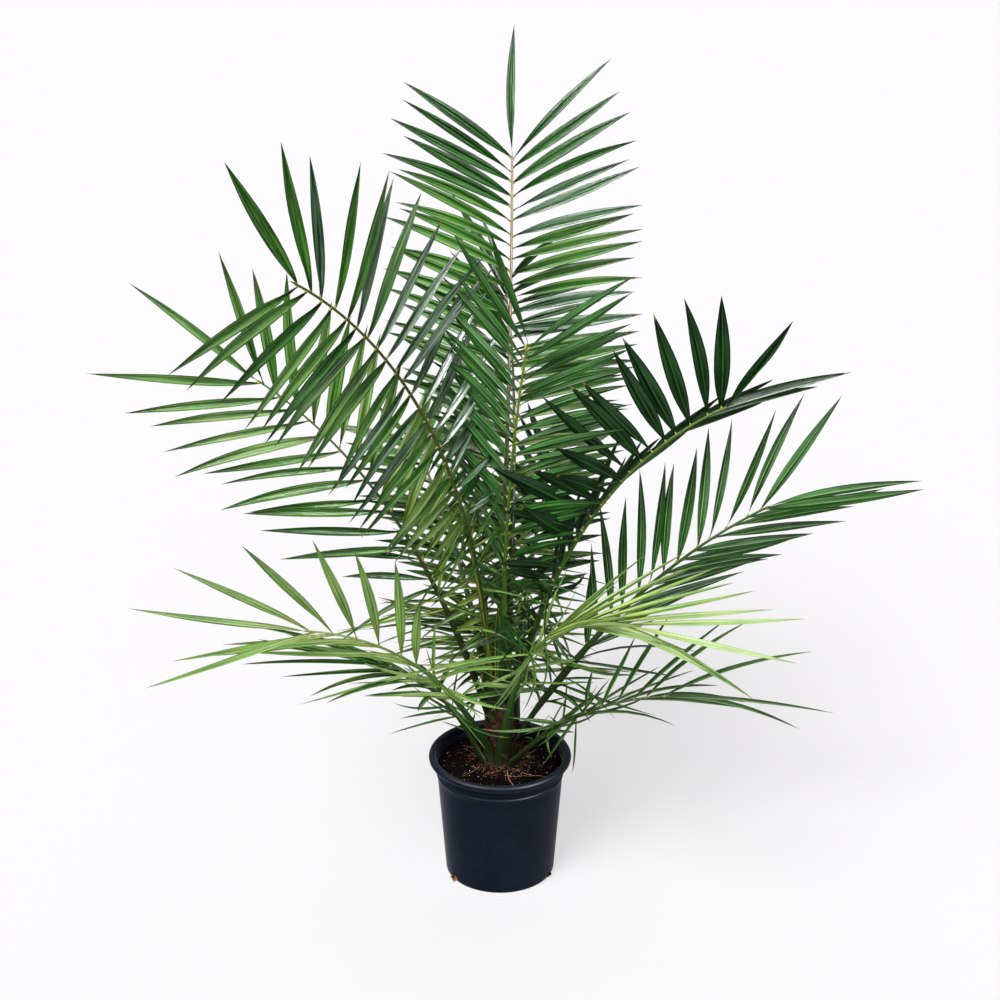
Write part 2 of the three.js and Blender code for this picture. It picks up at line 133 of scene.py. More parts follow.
def grid_faces(rows, columns, closed=False):
    """Quads of a grid of points, row after row; closed joins the last column to the first."""
    columns_of_faces = columns if closed else columns - 1
    row, column = np.meshgrid(np.arange(rows - 1), np.arange(columns_of_faces), indexing="ij")
    after = (column + 1) % columns
    corners = [row * columns + column, (row + 1) * columns + column]
    corners += [(row + 1) * columns + after, row * columns + after]
    return np.stack(corners, -1).reshape(-1, 4)


def flat_coords(across, along):
    """The two flat coordinates for a grid of points, from arrays that fit each other."""
    return np.stack(np.broadcast_arrays(across, along), -1)


def around(count):
    """Evenly spaced angles once round, in radians, without the repeated last one."""
    return np.linspace(0, 2 * np.pi, count, endpoint=False)


def tube(points, along, flipped=False):
    """Rows of points round a tube, with its faces and flat coordinates. along places each row."""
    rows, columns = points.shape[:2]
    faces = grid_faces(rows, columns, closed=True)
    coords = flat_coords(around(columns) / (2 * np.pi), np.reshape(along, (-1, 1)))
    return points, faces[:, ::-1] if flipped else faces, coords


def smooth_step(x):
    """From 0 to 1 with a soft start and a soft end."""
    x = np.clip(x, 0, 1)
    return x * x * (3 - 2 * x)


print("the one face of a grid of two rows and two columns", grid_faces(2, 2).tolist())

# %% Directions
def unit(way):
    """A direction at length 1."""
    return way / np.linalg.norm(way)


def square_to(way, direction):
    """The part of a direction that stands square on a way, at length 1."""
    return unit(direction - way * direction.dot(way))


def outward_way(azimuth):
    """The level direction away from the plant's axis at an azimuth in degrees."""
    a = math.radians(azimuth)
    return np.array([math.cos(a), math.sin(a), 0.0])


print("out at 90 degrees", outward_way(90).round(3))

# %% [markdown]
# ## Helpers for materials
#
# A finish in Blender is a small network of nodes. Effects that several finishes share, such as
# the fine nerves of a leaf or the mottling of anything that grew, are built once as node groups
# with named inputs. Each material then places the group with its own values. A group gives out
# only colours, masks and heights, and the shader itself stays in the material.

# %% Colours
WHITE = (1.0, 1.0, 1.0, 1.0)
BLACK = (0.0, 0.0, 0.0, 1.0)


def grey(level):
    """A grey, or a mask's level written as a colour."""
    return (level, level, level, 1.0)


def paint(code):
    """A colour from its screen code, as the linear values that a shader wants."""
    parts = [int(code[i : i + 2], 16) / 255 for i in (1, 3, 5)]
    return [p / 12.92 if p <= 0.04045 else ((p + 0.055) / 1.055) ** 2.4 for p in parts] + [1.0]


print("a leaf green as linear values", [round(v, 3) for v in paint("#1d5a12")])


# %% Nodes
# The Mix node keeps its colour sockets behind those for numbers: share, first, second, result.
COLOUR_SOCKETS = (0, 6, 7, 2)


def put(tree, kind, inputs=None, **settings):
    """Adds a node, sets its options, and fills its inputs with values or links."""
    made = tree.nodes.new(kind)
    for key, value in settings.items():
        setattr(made, key, value)
    for key, value in (inputs or {}).items():
        if isinstance(value, bpy.types.NodeSocket):
            tree.links.new(value, made.inputs[key])
        else:
            made.inputs[key].default_value = value
    return made


def sums(tree, operation, a, b=0.0, clamp=False):
    """The result of one Math node."""
    made = put(tree, "ShaderNodeMath", {0: a, 1: b}, operation=operation, use_clamp=clamp)
    return made.outputs[0]


def times(tree, *factors, clamp=False):
    """Several values multiplied; clamp keeps the product from 0 to 1."""
    product = factors[0]
    for factor in factors[1:-1]:
        product = sums(tree, "MULTIPLY", product, factor)
    return sums(tree, "MULTIPLY", product, factors[-1], clamp=clamp)


def blend_colours(tree, share, a, b, kind="MIX"):
    """Two colours blended: the first where the share is 0, the second where it is 1."""
    at_share, at_a, at_b, result = COLOUR_SOCKETS
    settings = {"data_type": "RGBA", "blend_type": kind}
    made = put(tree, "ShaderNodeMix", {at_share: share, at_a: a, at_b: b}, **settings)
    return made.outputs[result]


def ramp(tree, share, stops):
    """A colour that runs through the stops, each a place from 0 to 1 and a colour."""
    made = put(tree, "ShaderNodeValToRGB", {0: share})
    band = made.color_ramp
    while len(band.elements) < len(stops):
        band.elements.new(0.5)
    for element, (place, colour) in zip(band.elements, stops):
        element.position = place
        element.color = colour
    return made.outputs[0]


def object_place(tree):
    """Where a point of the surface lies in its object, in metres."""
    return put(tree, "ShaderNodeTexCoord").outputs["Object"]


def flat_place(tree):
    """Where a point of the surface lies on its part: across it, and along it."""
    return put(tree, "ShaderNodeUVMap", uv_map="part").outputs[0]


def split(tree, place):
    """The three numbers of a place or a direction."""
    return put(tree, "ShaderNodeSeparateXYZ", {0: place}).outputs


def cloudy(tree, place, scale, detail):
    """Soft noise from 0 to 1 at a place."""
    inputs = {"Vector": place, "Scale": scale, "Detail": detail}
    return put(tree, "ShaderNodeTexNoise", inputs).outputs[0]


def sharpened(tree, cloud, contrast):
    """Noise spread further from its middle, one half, and kept from 0 to 1."""
    centred = sums(tree, "SUBTRACT", cloud, 0.5)
    return sums(tree, "ADD", times(tree, centred, contrast), 0.5, clamp=True)


print("helpers for nodes ready")


# %% Groups, finishes and relief
def effect(name, inputs, outputs):
    """An empty node group with named inputs and outputs, each given as (name, kind, value)."""
    tree = bpy.data.node_groups.new(name, "ShaderNodeTree")
    kinds = {"number": "NodeSocketFloat", "colour": "NodeSocketColor"}
    for label, kind, value in inputs:
        made = tree.interface.new_socket(label, in_out="INPUT", socket_type=kinds[kind])
        made.default_value = value
    for label, kind in outputs:
        tree.interface.new_socket(label, in_out="OUTPUT", socket_type=kinds[kind])
    return tree, put(tree, "NodeGroupInput").outputs, put(tree, "NodeGroupOutput").inputs


def use(tree, group, inputs):
    """Places a node group in a material, fills its inputs and returns its outputs."""
    return put(tree, "ShaderNodeGroup", inputs, node_tree=group).outputs


def new_finish(name, roughness):
    """A material with its shader; returns the material, its tree and the shader's inputs."""
    made = bpy.data.materials.new(name)
    made.use_nodes = True
    shader = made.node_tree.nodes["Principled BSDF"].inputs
    shader["Roughness"].default_value = roughness
    return made, made.node_tree, shader


def relief(tree, shader, height, distance, strength):
    """Feeds a height into the shader's normal; distance is the relief's depth in metres."""
    inputs = {"Height": height, "Distance": distance, "Strength": strength}
    tree.links.new(put(tree, "ShaderNodeBump", inputs).outputs[0], shader["Normal"])


print("helpers for finishes ready")

# %% [markdown]
# ## Effects for the finishes
#
# Mottling is a soft noise that carries one colour into another, and it keeps any grown thing from
# looking dyed. Nerves are noise stretched along a leaf, which reads as its fine parallel veins.
# Fibre grain is the same idea on a seed of its own, for stump, stalks and roots. Dusting gathers
# on faces that look up, such as the pot's lip. Each takes its place from the object or from the
# flat coordinates, so it stays where it is when the camera moves.

# %% Mottling
def make_mottle():
    """One colour carried into another in soft patches, and the patches as a mask."""
    tree, given, gives = effect(
        "mottle",
        [("First", "colour", grey(0.2)), ("Second", "colour", grey(0.3)),
         ("Scale", "number", 30.0), ("Contrast", "number", 1.0)],
        [("Colour", "colour"), ("Mask", "number")],
    )
    cloud = cloudy(tree, object_place(tree), given["Scale"], 4.0)
    mask = sharpened(tree, cloud, given["Contrast"])
    tree.links.new(blend_colours(tree, mask, given["First"], given["Second"]), gives["Colour"])
    tree.links.new(mask, gives["Mask"])
    return tree


mottle = make_mottle()
print("mottling's inputs", [socket.name for socket in mottle.interface.items_tree])

# %% Nerves and grain
DRIFT_PER_METRE = 3.0


def make_streaks(name, seed):
    """Noise drawn out along a part: Across is how many streaks it has, Along how short they are."""
    tree, given, gives = effect(
        name,
        [("Across", "number", 20.0), ("Along", "number", 1.0), ("Sharpness", "number", 2.0)],
        [("Streak", "number"), ("Along share", "number"), ("Middle", "number")],
    )
    across, along, _ = split(tree, flat_place(tree))
    height = split(tree, object_place(tree))[2]
    drift = times(tree, height, DRIFT_PER_METRE)
    drawn = put(tree, "ShaderNodeCombineXYZ", {
        0: times(tree, across, given["Across"]),
        1: times(tree, along, given["Along"]),
        2: sums(tree, "ADD", drift, seed),
    })
    cloud = cloudy(tree, drawn.outputs[0], 1.0, 3.0)
    tree.links.new(sharpened(tree, cloud, given["Sharpness"]), gives["Streak"])
    tree.links.new(along, gives["Along share"])
    from_middle = sums(tree, "ABSOLUTE", sums(tree, "SUBTRACT", across, 0.5))
    tree.links.new(times(tree, from_middle, 2.0), gives["Middle"])
    return tree


nerves = make_streaks("leaf_nerves", 0.0)
grain = make_streaks("fibre_grain", 5.0)
print("streaks", nerves.name, grain.name)


# %% Dusting
def make_dusting():
    """A surface's colour with dust on the faces that look up."""
    tree, given, gives = effect(
        "dusting",
        [("Surface", "colour", grey(0.1)), ("Dust", "colour", (0.4, 0.38, 0.33, 1)),
         ("Amount", "number", 0.3), ("Scale", "number", 60.0)],
        [("Colour", "colour")],
    )
    normal = put(tree, "ShaderNodeNewGeometry").outputs["Normal"]
    upward = split(tree, normal)[2]
    facing_up = sums(tree, "ADD", times(tree, upward, 0.5), 0.5, clamp=True)
    grains = cloudy(tree, object_place(tree), given["Scale"], 6.0)
    lumps = sums(tree, "POWER", grains, 2.0)
    mask = times(tree, lumps, facing_up, given["Amount"], clamp=True)
    tree.links.new(blend_colours(tree, mask, given["Surface"], given["Dust"]), gives["Colour"])
    return tree


dusting = make_dusting()
print("effects", [g.name for g in bpy.data.node_groups])

# %% [markdown]
# ## Leaf finishes
#
# A date palm's leaflets aren't one green. The young middle fronds are deep and glossy, the low
# ones, which see less light and are older, run to yellow-green, and the undersides are duller.
# One function makes all of these from a darker and a lighter green in soft blotches. Over them it
# paints pale streaks along the blade, a painted sheen that stands in for the highlights of glossy
# nerves, and draws fine dark veins; it gives the foot a colour of its own, and lets the edges and
# the tip run to the darker green. A leaflet's finish is then dealt out by the frond it belongs to
# and its place there, so that the colours vary over the plant as on a real one.

# %% The greens
LEAF_GREENS = {
    # name: darker green, lighter green, pale streaks (painted sheen), foot of the leaflet, how far
    # the foot's colour runs, roughness, gloss
    "leaf_night": ("#031403", "#143c0f", "#38682f", "#2c2a10", 0.14, 0.3, 0.2),
    "leaf_deep": ("#041a03", "#1d5a12", "#5c9c4c", "#1c1006", 0.14, 0.24, 0.34),
    "leaf_middle": ("#0b3206", "#3c8420", "#94c470", "#1c1006", 0.14, 0.26, 0.34),
    "leaf_meadow": ("#1c4e0c", "#5c962c", "#b4d48c", "#3a4414", 0.2, 0.28, 0.34),
    "leaf_olive": ("#102804", "#3e6c14", "#8cb464", "#3a3a14", 0.14, 0.28, 0.4),
    "leaf_fresh": ("#2c5e12", "#7cac34", "#cce4a0", "#8a9430", 0.3, 0.3, 0.34),
    "leaf_lime": ("#5c9024", "#b2d858", "#e8f4c4", "#c4cc60", 0.42, 0.34, 0.32),
    "leaf_pale": ("#8eb45c", "#cae498", "#f0f6dc", "#c0c870", 0.42, 0.4, 0.3),
    # The silver green's whitish streaks are the strongest painted sheen of all.
    "leaf_silver": ("#041e08", "#246026", "#a8cca8", "#1c1006", 0.14, 0.22, 0.7),
    "underside_deep": ("#0e300a", "#2f6c20", "#5a9248", "#241508", 0.14, 0.42, 0.16),
    "underside_night": ("#081a08", "#1a4418", "#3c643c", "#140c04", 0.14, 0.4, 0.2),
    "underside_olive": ("#1e4416", "#4c7a34", "#8cac6c", "#3a4414", 0.2, 0.42, 0.2),
    "underside_pale": ("#4e802a", "#88b64c", "#bcd498", "#8f9a45", 0.3, 0.5, 0.22),
}
print("greens", len(LEAF_GREENS))

# %% Leaf materials
# How strongly each layer shows, from 0 to 1, and where along or across the blade it starts.
# The pale streaks are a painted sheen: highlights laid into the colour, not the leaf's own tone.
PAINTED_SHEEN_SHOW = 0.95
PAINTED_SHEEN_THINNING = 1.5
VEIN_SHOW = 0.3
FOOT_SHOW = 0.9
FOOT_MIDWAY = 0.7
RIM_SHOW = 0.75
RIM_START = 0.8
TIP_SHOW = 0.7
TIP_START = 0.55
VEIN_DEPTH = 0.0006


def leaf_finish(name, dark, light, painted_sheen, foot, foot_reach, roughness, gloss):
    """One leaf green: blotches, painted sheen streaks, veins, foot, edges and tip, laid one on
    another.
    """
    made, tree, shader = new_finish(name, roughness)
    shader["Specular IOR Level"].default_value = gloss
    # Broad pale streaks of painted sheen; the same node also gives the places along and across.
    painted_sheen_streaks = use(tree, nerves, {"Across": 4.5, "Along": 1.1, "Sharpness": 4.2})
    veins = use(tree, nerves, {"Across": 13.0, "Along": 2.0, "Sharpness": 3.0})
    blotches = use(tree, mottle, {
        "First": paint(dark), "Second": paint(light), "Scale": 10.0, "Contrast": 2.8,
    })
    thinned_sheen = sums(tree, "POWER", painted_sheen_streaks["Streak"], PAINTED_SHEEN_THINNING)
    painted_sheen_share = times(tree, thinned_sheen, PAINTED_SHEEN_SHOW)
    colour = blend_colours(tree, painted_sheen_share, blotches["Colour"], paint(painted_sheen))
    colour = blend_colours(tree, times(tree, veins["Streak"], VEIN_SHOW), colour, paint(dark))
    foot_stops = [(0.0, WHITE), (foot_reach / 3, grey(FOOT_MIDWAY)), (foot_reach, BLACK)]
    at_foot = ramp(tree, painted_sheen_streaks["Along share"], foot_stops)
    colour = blend_colours(tree, times(tree, at_foot, FOOT_SHOW), colour, paint(foot))
    at_rim = ramp(tree, painted_sheen_streaks["Middle"], [(RIM_START, BLACK), (1.0, WHITE)])
    colour = blend_colours(tree, times(tree, at_rim, RIM_SHOW), colour, paint(dark))
    at_tip = ramp(tree, painted_sheen_streaks["Along share"], [(TIP_START, BLACK), (1.0, grey(TIP_SHOW))])
    tree.links.new(blend_colours(tree, at_tip, colour, paint(dark)), shader["Base Color"])
    relief(tree, shader, veins["Streak"], VEIN_DEPTH, 0.8)
    return made


LEAF = {name: leaf_finish(name, *greens) for name, greens in LEAF_GREENS.items()}
print("leaf finishes", len(LEAF))

# %% Midribs and dry tips
FIBRE_DEPTH = 0.0004


def plain_growth(name, dark, light, roughness, across=8.0, along=6.0):
    """A finish for small grown parts: midribs, dry tips, fibres and scales."""
    made, tree, shader = new_finish(name, roughness)
    lines = use(tree, grain, {"Across": across, "Along": along, "Sharpness": 2.5})
    lined = blend_colours(tree, lines["Streak"], paint(dark), paint(light))
    tree.links.new(lined, shader["Base Color"])
    relief(tree, shader, lines["Streak"], FIBRE_DEPTH, 0.8)
    return made


LEAF["midrib"] = plain_growth("midrib", "#5f8a45", "#8db06a", 0.45)
LEAF["midrib_deep"] = plain_growth("midrib_deep", "#24541c", "#4c8638", 0.35)
LEAF["midrib_lime"] = plain_growth("midrib_lime", "#94b45f", "#bccf86", 0.45)
LEAF["dry_tip"] = plain_growth("dry_tip", "#6b5a2c", "#a58a4c", 0.7)
print("with midribs and tips", len(LEAF))

# %% [markdown]
# ## How a frond grows
#
# A date palm's frond is a curved rib with a row of leaflets on each side. The rib leaves the stump
# steeply and arches over, faster towards its tip. Leaflets are longest in the middle and near the
# end, close up towards the tip, and the lowest ones are reduced to narrow spines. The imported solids
# were grown by this same rule with the same seeded unevenness, so it is written again here in the
# same terms: each dressed leaflet then leaves the rib at its solid's place and ends at the very
# point where its solid does.

# %% The rule's numbers
RIB_STEPS = 12
RIB_TIP_RADIUS = 1.9
RIB_TAPER = 2.2
ARCH_POWER = 1.6
LEAFLET_HALF_WIDTH = 10
LEAST_WIDTH = 0.35
FIRST_LENGTH = 0.62
LENGTHENING = 1.5
TIP_GAIN = 0.16
TIP_GAIN_LENGTH = 0.05
END_GAIN = 1.09
END_WIDTH = 0.9
FAN_LENGTH = 0.1
UNEVEN = {"place": 0.18, "length": 0.06, "angle": 4, "lift": 6}
SPINE = {"pairs": 4, "start": 0.3, "shortest": 0.18, "longest": 0.58, "narrowest": 0.28,
         "widest": 0.48, "angle": 52, "lift": 24}
SPINE_UNEVEN = {"place": 0.2, "length": 0.1, "stance": 14}
FIRST_SEED = 1000
SEED_STEP = 17
print("spines on a stalk", 2 * SPINE["pairs"])

# %% The fronds
# Each row: seat, out, height / heading, sweep / rise, arch / length / roll, twist, lift /
# leaflet, droop / spread of the two rows / bare, pairs, slim, stout / tip angles / end, if any
FROND_TERMS = (
    "seat out height heading sweep rise arch length roll twist lift leaflet droop "
    "spread1 spread2 bare pairs slim stout tip1 tip2 end"
).split()
FROND_ROWS = {
    "frond_top": "103 11 366 80 10 78 21 1008 41 -46 3 246 .06 67 77 .4 25 1.1 8 50 38 -1",
    "frond_front": "277 14 362 289 14 87 12 730 -84 46 12 216 .08 60 56 .36 20 .9 8 34 34 -24",
    "frond_upper_left": "215 19 350 213 10 86 54 1020 -66 -16 10 262 .08 80 80 .38 21 1.2 8.5 34 16 0",
    "frond_right": "330 22 342 349 -4 77 47 755 13 -60 24 232 .02 72 79 .36 17 1.35 8.5 40 54 -38",
    "frond_left": "172 25 334 178 14 72 34 790 -93 -15 -3 264 .07 64 52 .34 14 1.05 9 28 36 -8",
    "frond_back": "62 20 346 78 20 76 52 850 12 22 20 220 .08 74 74 .36 20 .9 8.5 34 34 6",
    "frond_back_left": "132 25 332 120 -8 69 56 580 -10 -14 22 155 .08 68 68 .34 16 .85 9 34 34 5",
    "frond_back_right": "26 27 322 70 6 74 46 500 16 10 22 140 .08 68 68 .34 13 .85 9 34 34 -6",
    "frond_far_right": "352 33 286 352 -9 58 25 680 -88 -7 52 246 .02 52 65 .3 13 1 9.5 26 36 15",
    "frond_low_right": "283 33 282 296 30 77 75 500 -4 39 3 284 .03 20 20 .56 9 .68 10 12 12 3",
    "frond_low_left": "218 34 276 226 -28 60 49 505 12 58 6 284 .02 46 40 .48 6 .95 10 22 28 8",
    "frond_low_back": "96 34 276 102 -12 56 58 560 -8 10 18 215 .08 60 60 .38 11 .75 10 34 34 4",
    "frond_lowest_left": "192 38 246 205 -42 67 52 270 60 -28 -32 270 .13 60 14 .6 5 .8 11 20 14 4",
    "frond_lowest_right": "318 38 246 320 42 50 51 360 20 -86 24 272 .14 58 50 .52 6 .65 11 14 14 -2",
}
FRONDS = [
    {"name": name, **dict(zip(FROND_TERMS, map(float, row.split())))}
    for name, row in FROND_ROWS.items()
]
print("fronds", len(FRONDS))


# %% Seeded numbers
def seeded(seed):
    """The same whole-number generator that grew the solids: numbers from 0 to 1."""
    state = seed
    whole = 0xFFFFFFFF

    def draw():
        """The next number."""
        nonlocal state
        state = (state + 0x6D2B79F5) & whole
        t = ((state ^ (state >> 15)) * (1 | state)) & whole
        t = ((t + (((t ^ (t >> 7)) * (61 | t)) & whole)) & whole) ^ t
        return (t ^ (t >> 14)) / (whole + 1)

    return draw


def spread_of(draw, size):
    """One seeded number between minus and plus a size."""
    return (draw() * 2 - 1) * size


print("first number", round(seeded(FIRST_SEED)(), 4))


# %% The rib's directions and its curve
def directions(elevation, azimuth, roll):
    """Along a rib, across its blade and off its face, for angles in degrees."""
    el, az, ro = (np.radians(np.asarray(a, float))[..., None] for a in (elevation, azimuth, roll))
    level = np.concatenate([np.cos(az), np.sin(az), 0 * az], -1)
    along = level * np.cos(el) + UP * np.sin(el)
    side = np.concatenate([-np.sin(az), np.cos(az), 0 * az], -1)
    face = np.cross(along, side)
    return along, side * np.cos(ro) + face * np.sin(ro), face * np.cos(ro) - side * np.sin(ro)


def rib_frame(frond, s, roll_share=1.0):
    """The three directions at a share s of the rib's length."""
    s = np.asarray(s, float)
    elevation = frond["rise"] - frond["arch"] * s**ARCH_POWER
    azimuth = frond["heading"] + frond["sweep"] * s
    return directions(elevation, azimuth, roll_share * (frond["roll"] + frond["twist"] * s))


def rib_points(frond, steps):
    """Points along the rib, from its seat on the stump to its tip."""
    start = frond["out"] * outward_way(frond["seat"]) + UP * frond["height"]
    along = rib_frame(frond, (np.arange(steps) + 0.5) / steps)[0]
    return np.concatenate([[start], start + np.cumsum(along, 0) * frond["length"] / steps])


def fine_rib_points(frond):
    """The rib in six times as many steps, so that it looks smooth."""
    return rib_points(frond, 6 * RIB_STEPS)


def point_on(points, s):
    """The point at a share s of a line of points."""
    place = np.clip(np.asarray(s, float), 0, 1) * (len(points) - 1)
    i = np.minimum(place.astype(int), len(points) - 2)
    share = (place - i)[..., None]
    return points[i] * (1 - share) + points[i + 1] * share


def rib_radius(frond, s):
    """How thick the rib is at a share s of its length."""
    return RIB_TIP_RADIUS + (frond["stout"] - RIB_TIP_RADIUS) * (1 - s) ** RIB_TAPER


print("the tallest rib's tip, mm", rib_points(FRONDS[0], RIB_STEPS)[-1].round(1))


# %% Every leaflet that a frond asks for
def leaflet_angle(frond, s, side):
    """The angle between leaflet and rib: it closes up towards the frond's tip."""
    row = "1" if side > 0 else "2"
    closed = math.exp((s - 1) / FAN_LENGTH)
    return frond["spread" + row] + (frond["tip" + row] - frond["spread" + row]) * closed


def blade_leaflets(frond, draw):
    """The leaflets proper, in pairs along the blade, and the one at its end."""
    bare = frond["bare"]
    blade = 1 - bare
    pairs = int(frond["pairs"])
    for i in range(pairs):
        for side in (1, -1):
            s = bare + blade / pairs * (i + 0.5 + spread_of(draw, UNEVEN["place"]))
            grown = min(1, FIRST_LENGTH + LENGTHENING * (s - bare) / blade)
            gain = 1 + TIP_GAIN * math.exp((s - 1) / TIP_GAIN_LENGTH)
            length = frond["leaflet"] * grown * gain * (1 + spread_of(draw, UNEVEN["length"]))
            angle = leaflet_angle(frond, s, side) + spread_of(draw, UNEVEN["angle"])
            lift = frond["lift"] + spread_of(draw, UNEVEN["lift"])
            width = min(1, LEAST_WIDTH + (1 - LEAST_WIDTH) * grown)
            yield "leaflet", s, side, angle, length, width, lift
    if frond["end"]:
        yield "leaflet", 1.0, 1, frond["end"], frond["leaflet"] * END_GAIN, END_WIDTH, 0


def stalk_spines(frond, draw):
    """The narrow reduced leaflets below the blade."""
    start = SPINE["start"] * frond["bare"]
    for i in range(SPINE["pairs"]):
        for side in (1, -1):
            share = (i + 0.5 + spread_of(draw, SPINE_UNEVEN["place"])) / SPINE["pairs"]
            s = start + (frond["bare"] - start) * share
            longest = SPINE["shortest"] + (SPINE["longest"] - SPINE["shortest"]) * share
            length = frond["leaflet"] * longest * (1 + spread_of(draw, SPINE_UNEVEN["length"]))
            width = SPINE["narrowest"] + (SPINE["widest"] - SPINE["narrowest"]) * share
            angle = SPINE["angle"] + spread_of(draw, SPINE_UNEVEN["stance"])
            lift = SPINE["lift"] + spread_of(draw, SPINE_UNEVEN["stance"])
            yield "spine", s, side, angle, length, width, lift


def leaflet_plan(frond, seed):
    """All of a frond's leaflets and spines, in the order in which the solids grew them."""
    draw = seeded(seed)
    terms = ("kind", "s", "side", "angle", "length", "width", "lift")
    rows = [*blade_leaflets(frond, draw), *stalk_spines(frond, draw)]
    return [dict(zip(terms, row)) for row in rows]


print("the tallest frond asks for", len(leaflet_plan(FRONDS[0], FIRST_SEED)))


# %% Where a leaflet stands
def leaflet_stance(frond, coarse, leaf, turn=0, tilt=0, shorten=1):
    """A leaflet's root, directions, length and tip on a rib of coarse points."""
    along, across, off = rib_frame(frond, leaf["s"])
    angle = math.radians(leaf["angle"] + tilt)
    lift = math.radians(leaf["lift"] + turn)
    outward = across * leaf["side"] * math.cos(lift) + off * math.sin(lift)
    way = unit(along * math.cos(angle) + outward * math.sin(angle))
    off = square_to(way, off)
    length = leaf["length"] * shorten
    root = point_on(coarse, leaf["s"])
    return {
        **leaf, "root": root, "way": way, "off": off, "across": np.cross(off, way),
        "length": length, "tip": root + way * length - UP * frond["droop"] * length,
        "half_width": LEAFLET_HALF_WIDTH * leaf["width"] * frond["slim"],
    }


print("a full leaflet's half width, mm", LEAFLET_HALF_WIDTH)


# %% [markdown]
# ## Which leaflets turned aside
#
# Where a leaflet would have run into a neighbouring frond, its solid was turned a few degrees,
# tilted or shortened, and now and then left out. The dressed leaflet has to do the same. The
# solid's own corners tell which turn was taken: the leaflet's tip is looked for among them.

# %% Find each leaflet's turn
DODGES = [
    (turn, tilt, shorten)
    for shorten in (1, 0.8, 0.55)
    for tilt in (0, -7, 7)
    for turn in (0, 8, -8, 17, -17)
]
TIP_MATCH = 0.2 * MM


def corners_of(node):
    """The corners of a node's solid, sorted so that the nearest is found fast."""
    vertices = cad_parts[node].data.vertices
    tree = kdtree.KDTree(len(vertices))
    for i, vertex in enumerate(vertices):
        tree.insert(vertex.co, i)
    tree.balance()
    return tree


def grown_leaflets(frond, index):
    """The leaflets that the frond's solid really has, each with the turn that it took."""
    corners = corners_of(frond["name"])
    coarse = rib_points(frond, RIB_STEPS)
    kept, turned, lost = [], 0, 0
    for leaf in leaflet_plan(frond, FIRST_SEED + SEED_STEP * index):
        for dodge in DODGES:
            stance = leaflet_stance(frond, coarse, leaf, *dodge)
            if corners.find(Vector(stance["tip"] * MM))[2] < TIP_MATCH:
                turned += dodge != DODGES[0]
                kept.append(stance)
                break
        else:
            lost += 1
    print(frond["name"], "leaflets", len(kept), "turned aside", turned, "left out", lost)
    return kept


GROWN = [grown_leaflets(frond, i) for i, frond in enumerate(FRONDS)]
print("leaflets and spines in all", sum(map(len, GROWN)))

# %% [markdown]
# ## The leaflets' shape
#
# A date palm leaflet is a long blade folded along its midrib. It is pinched and almost shut where
# it joins the rib, opens to its widest a little before the middle, and tapers evenly to a sharp,
# sometimes dry, point. A flat card would catch the light in one tone. Here each blade is two thin
# sheets, upper and under, each in three strips: two halves and the raised midrib. The strips don't
# share points, so the fold stays crisp while each half shades smoothly.

# %% Blade outlines and sections
# Shares of a leaflet's length, its half width there, and how far its halves are folded up.
BLADE_ROWS = np.array([
    (0.0, 0.18, 58), (0.02, 0.28, 54), (0.05, 0.44, 49), (0.09, 0.6, 44), (0.14, 0.76, 39),
    (0.2, 0.9, 34), (0.27, 1.0, 30), (0.35, 1.06, 27), (0.45, 1.05, 25), (0.55, 0.98, 23),
    (0.64, 0.86, 22), (0.72, 0.72, 22), (0.79, 0.57, 23), (0.85, 0.43, 24), (0.9, 0.3, 26),
    (0.94, 0.19, 28), (0.975, 0.085, 30), (1.0, 0.012, 32),
])
SPINE_ROWS = np.array([
    (0.0, 0.55, 60), (0.06, 0.75, 52), (0.18, 0.95, 42), (0.34, 1.0, 34), (0.5, 0.86, 30),
    (0.68, 0.6, 30), (0.84, 0.32, 30), (0.94, 0.12, 30), (1.0, 0.012, 30),
])
MIDRIB_HALF = 0.07
# Places across the blade, in three strips that don't share points.
STRIPS = np.array([
    -1, -0.72, -0.38, -MIDRIB_HALF, -MIDRIB_HALF, 0.0, MIDRIB_HALF, MIDRIB_HALF, 0.38, 0.72, 1,
])
# The first column and the columns of each strip; the middle one is the midrib.
STRIP_STARTS = ((0, 4), (4, 3), (7, 4))
print("points in a leaflet", 2 * len(BLADE_ROWS) * len(STRIPS))


# %% Faces of a blade
def blade_faces(rows):
    """Quads of one sheet, and which of them belong to the midrib."""
    faces, midrib = [], []
    for start, columns in STRIP_STARTS:
        cells = grid_faces(rows, columns)
        row, column = divmod(cells, columns)
        faces.append(row * len(STRIPS) + column + start)
        midrib.append(np.full(len(cells), start == STRIP_STARTS[1][0]))
    return np.concatenate(faces), np.concatenate(midrib)


print("faces in a leaflet", 2 * len(blade_faces(len(BLADE_ROWS))[0]))

# %% Points of a blade
MIDRIB_RISE = 0.35
MIDRIB_KEEL = 1.6
BULGE = 0.2
BLADE_THICKNESS = 0.45
# How far one leaflet strays from a straight line, sideways and off its face, as shares of its
# length, and how much further a slack one does.
SIDE_SWAY = (-0.022, 0.022)
FACE_SWAY = (-0.03, 0.012)
SPINE_SLACK = 3.5
# How far its blade turns by the tip, how much wider than its solid it is, and how far its halves
# are folded up against the rows above.
BLADE_TURN = (-16, 16)
WIDENING = (0.98, 1.14)
FOLDING = (0.9, 1.9)


def sheet(line, across, off, sideways, height):
    """Points of a sheet from its middle line and how far they lie across it and off it."""
    return line[:, None] + across[:, None] * sideways[..., None] + off[:, None] * height[..., None]


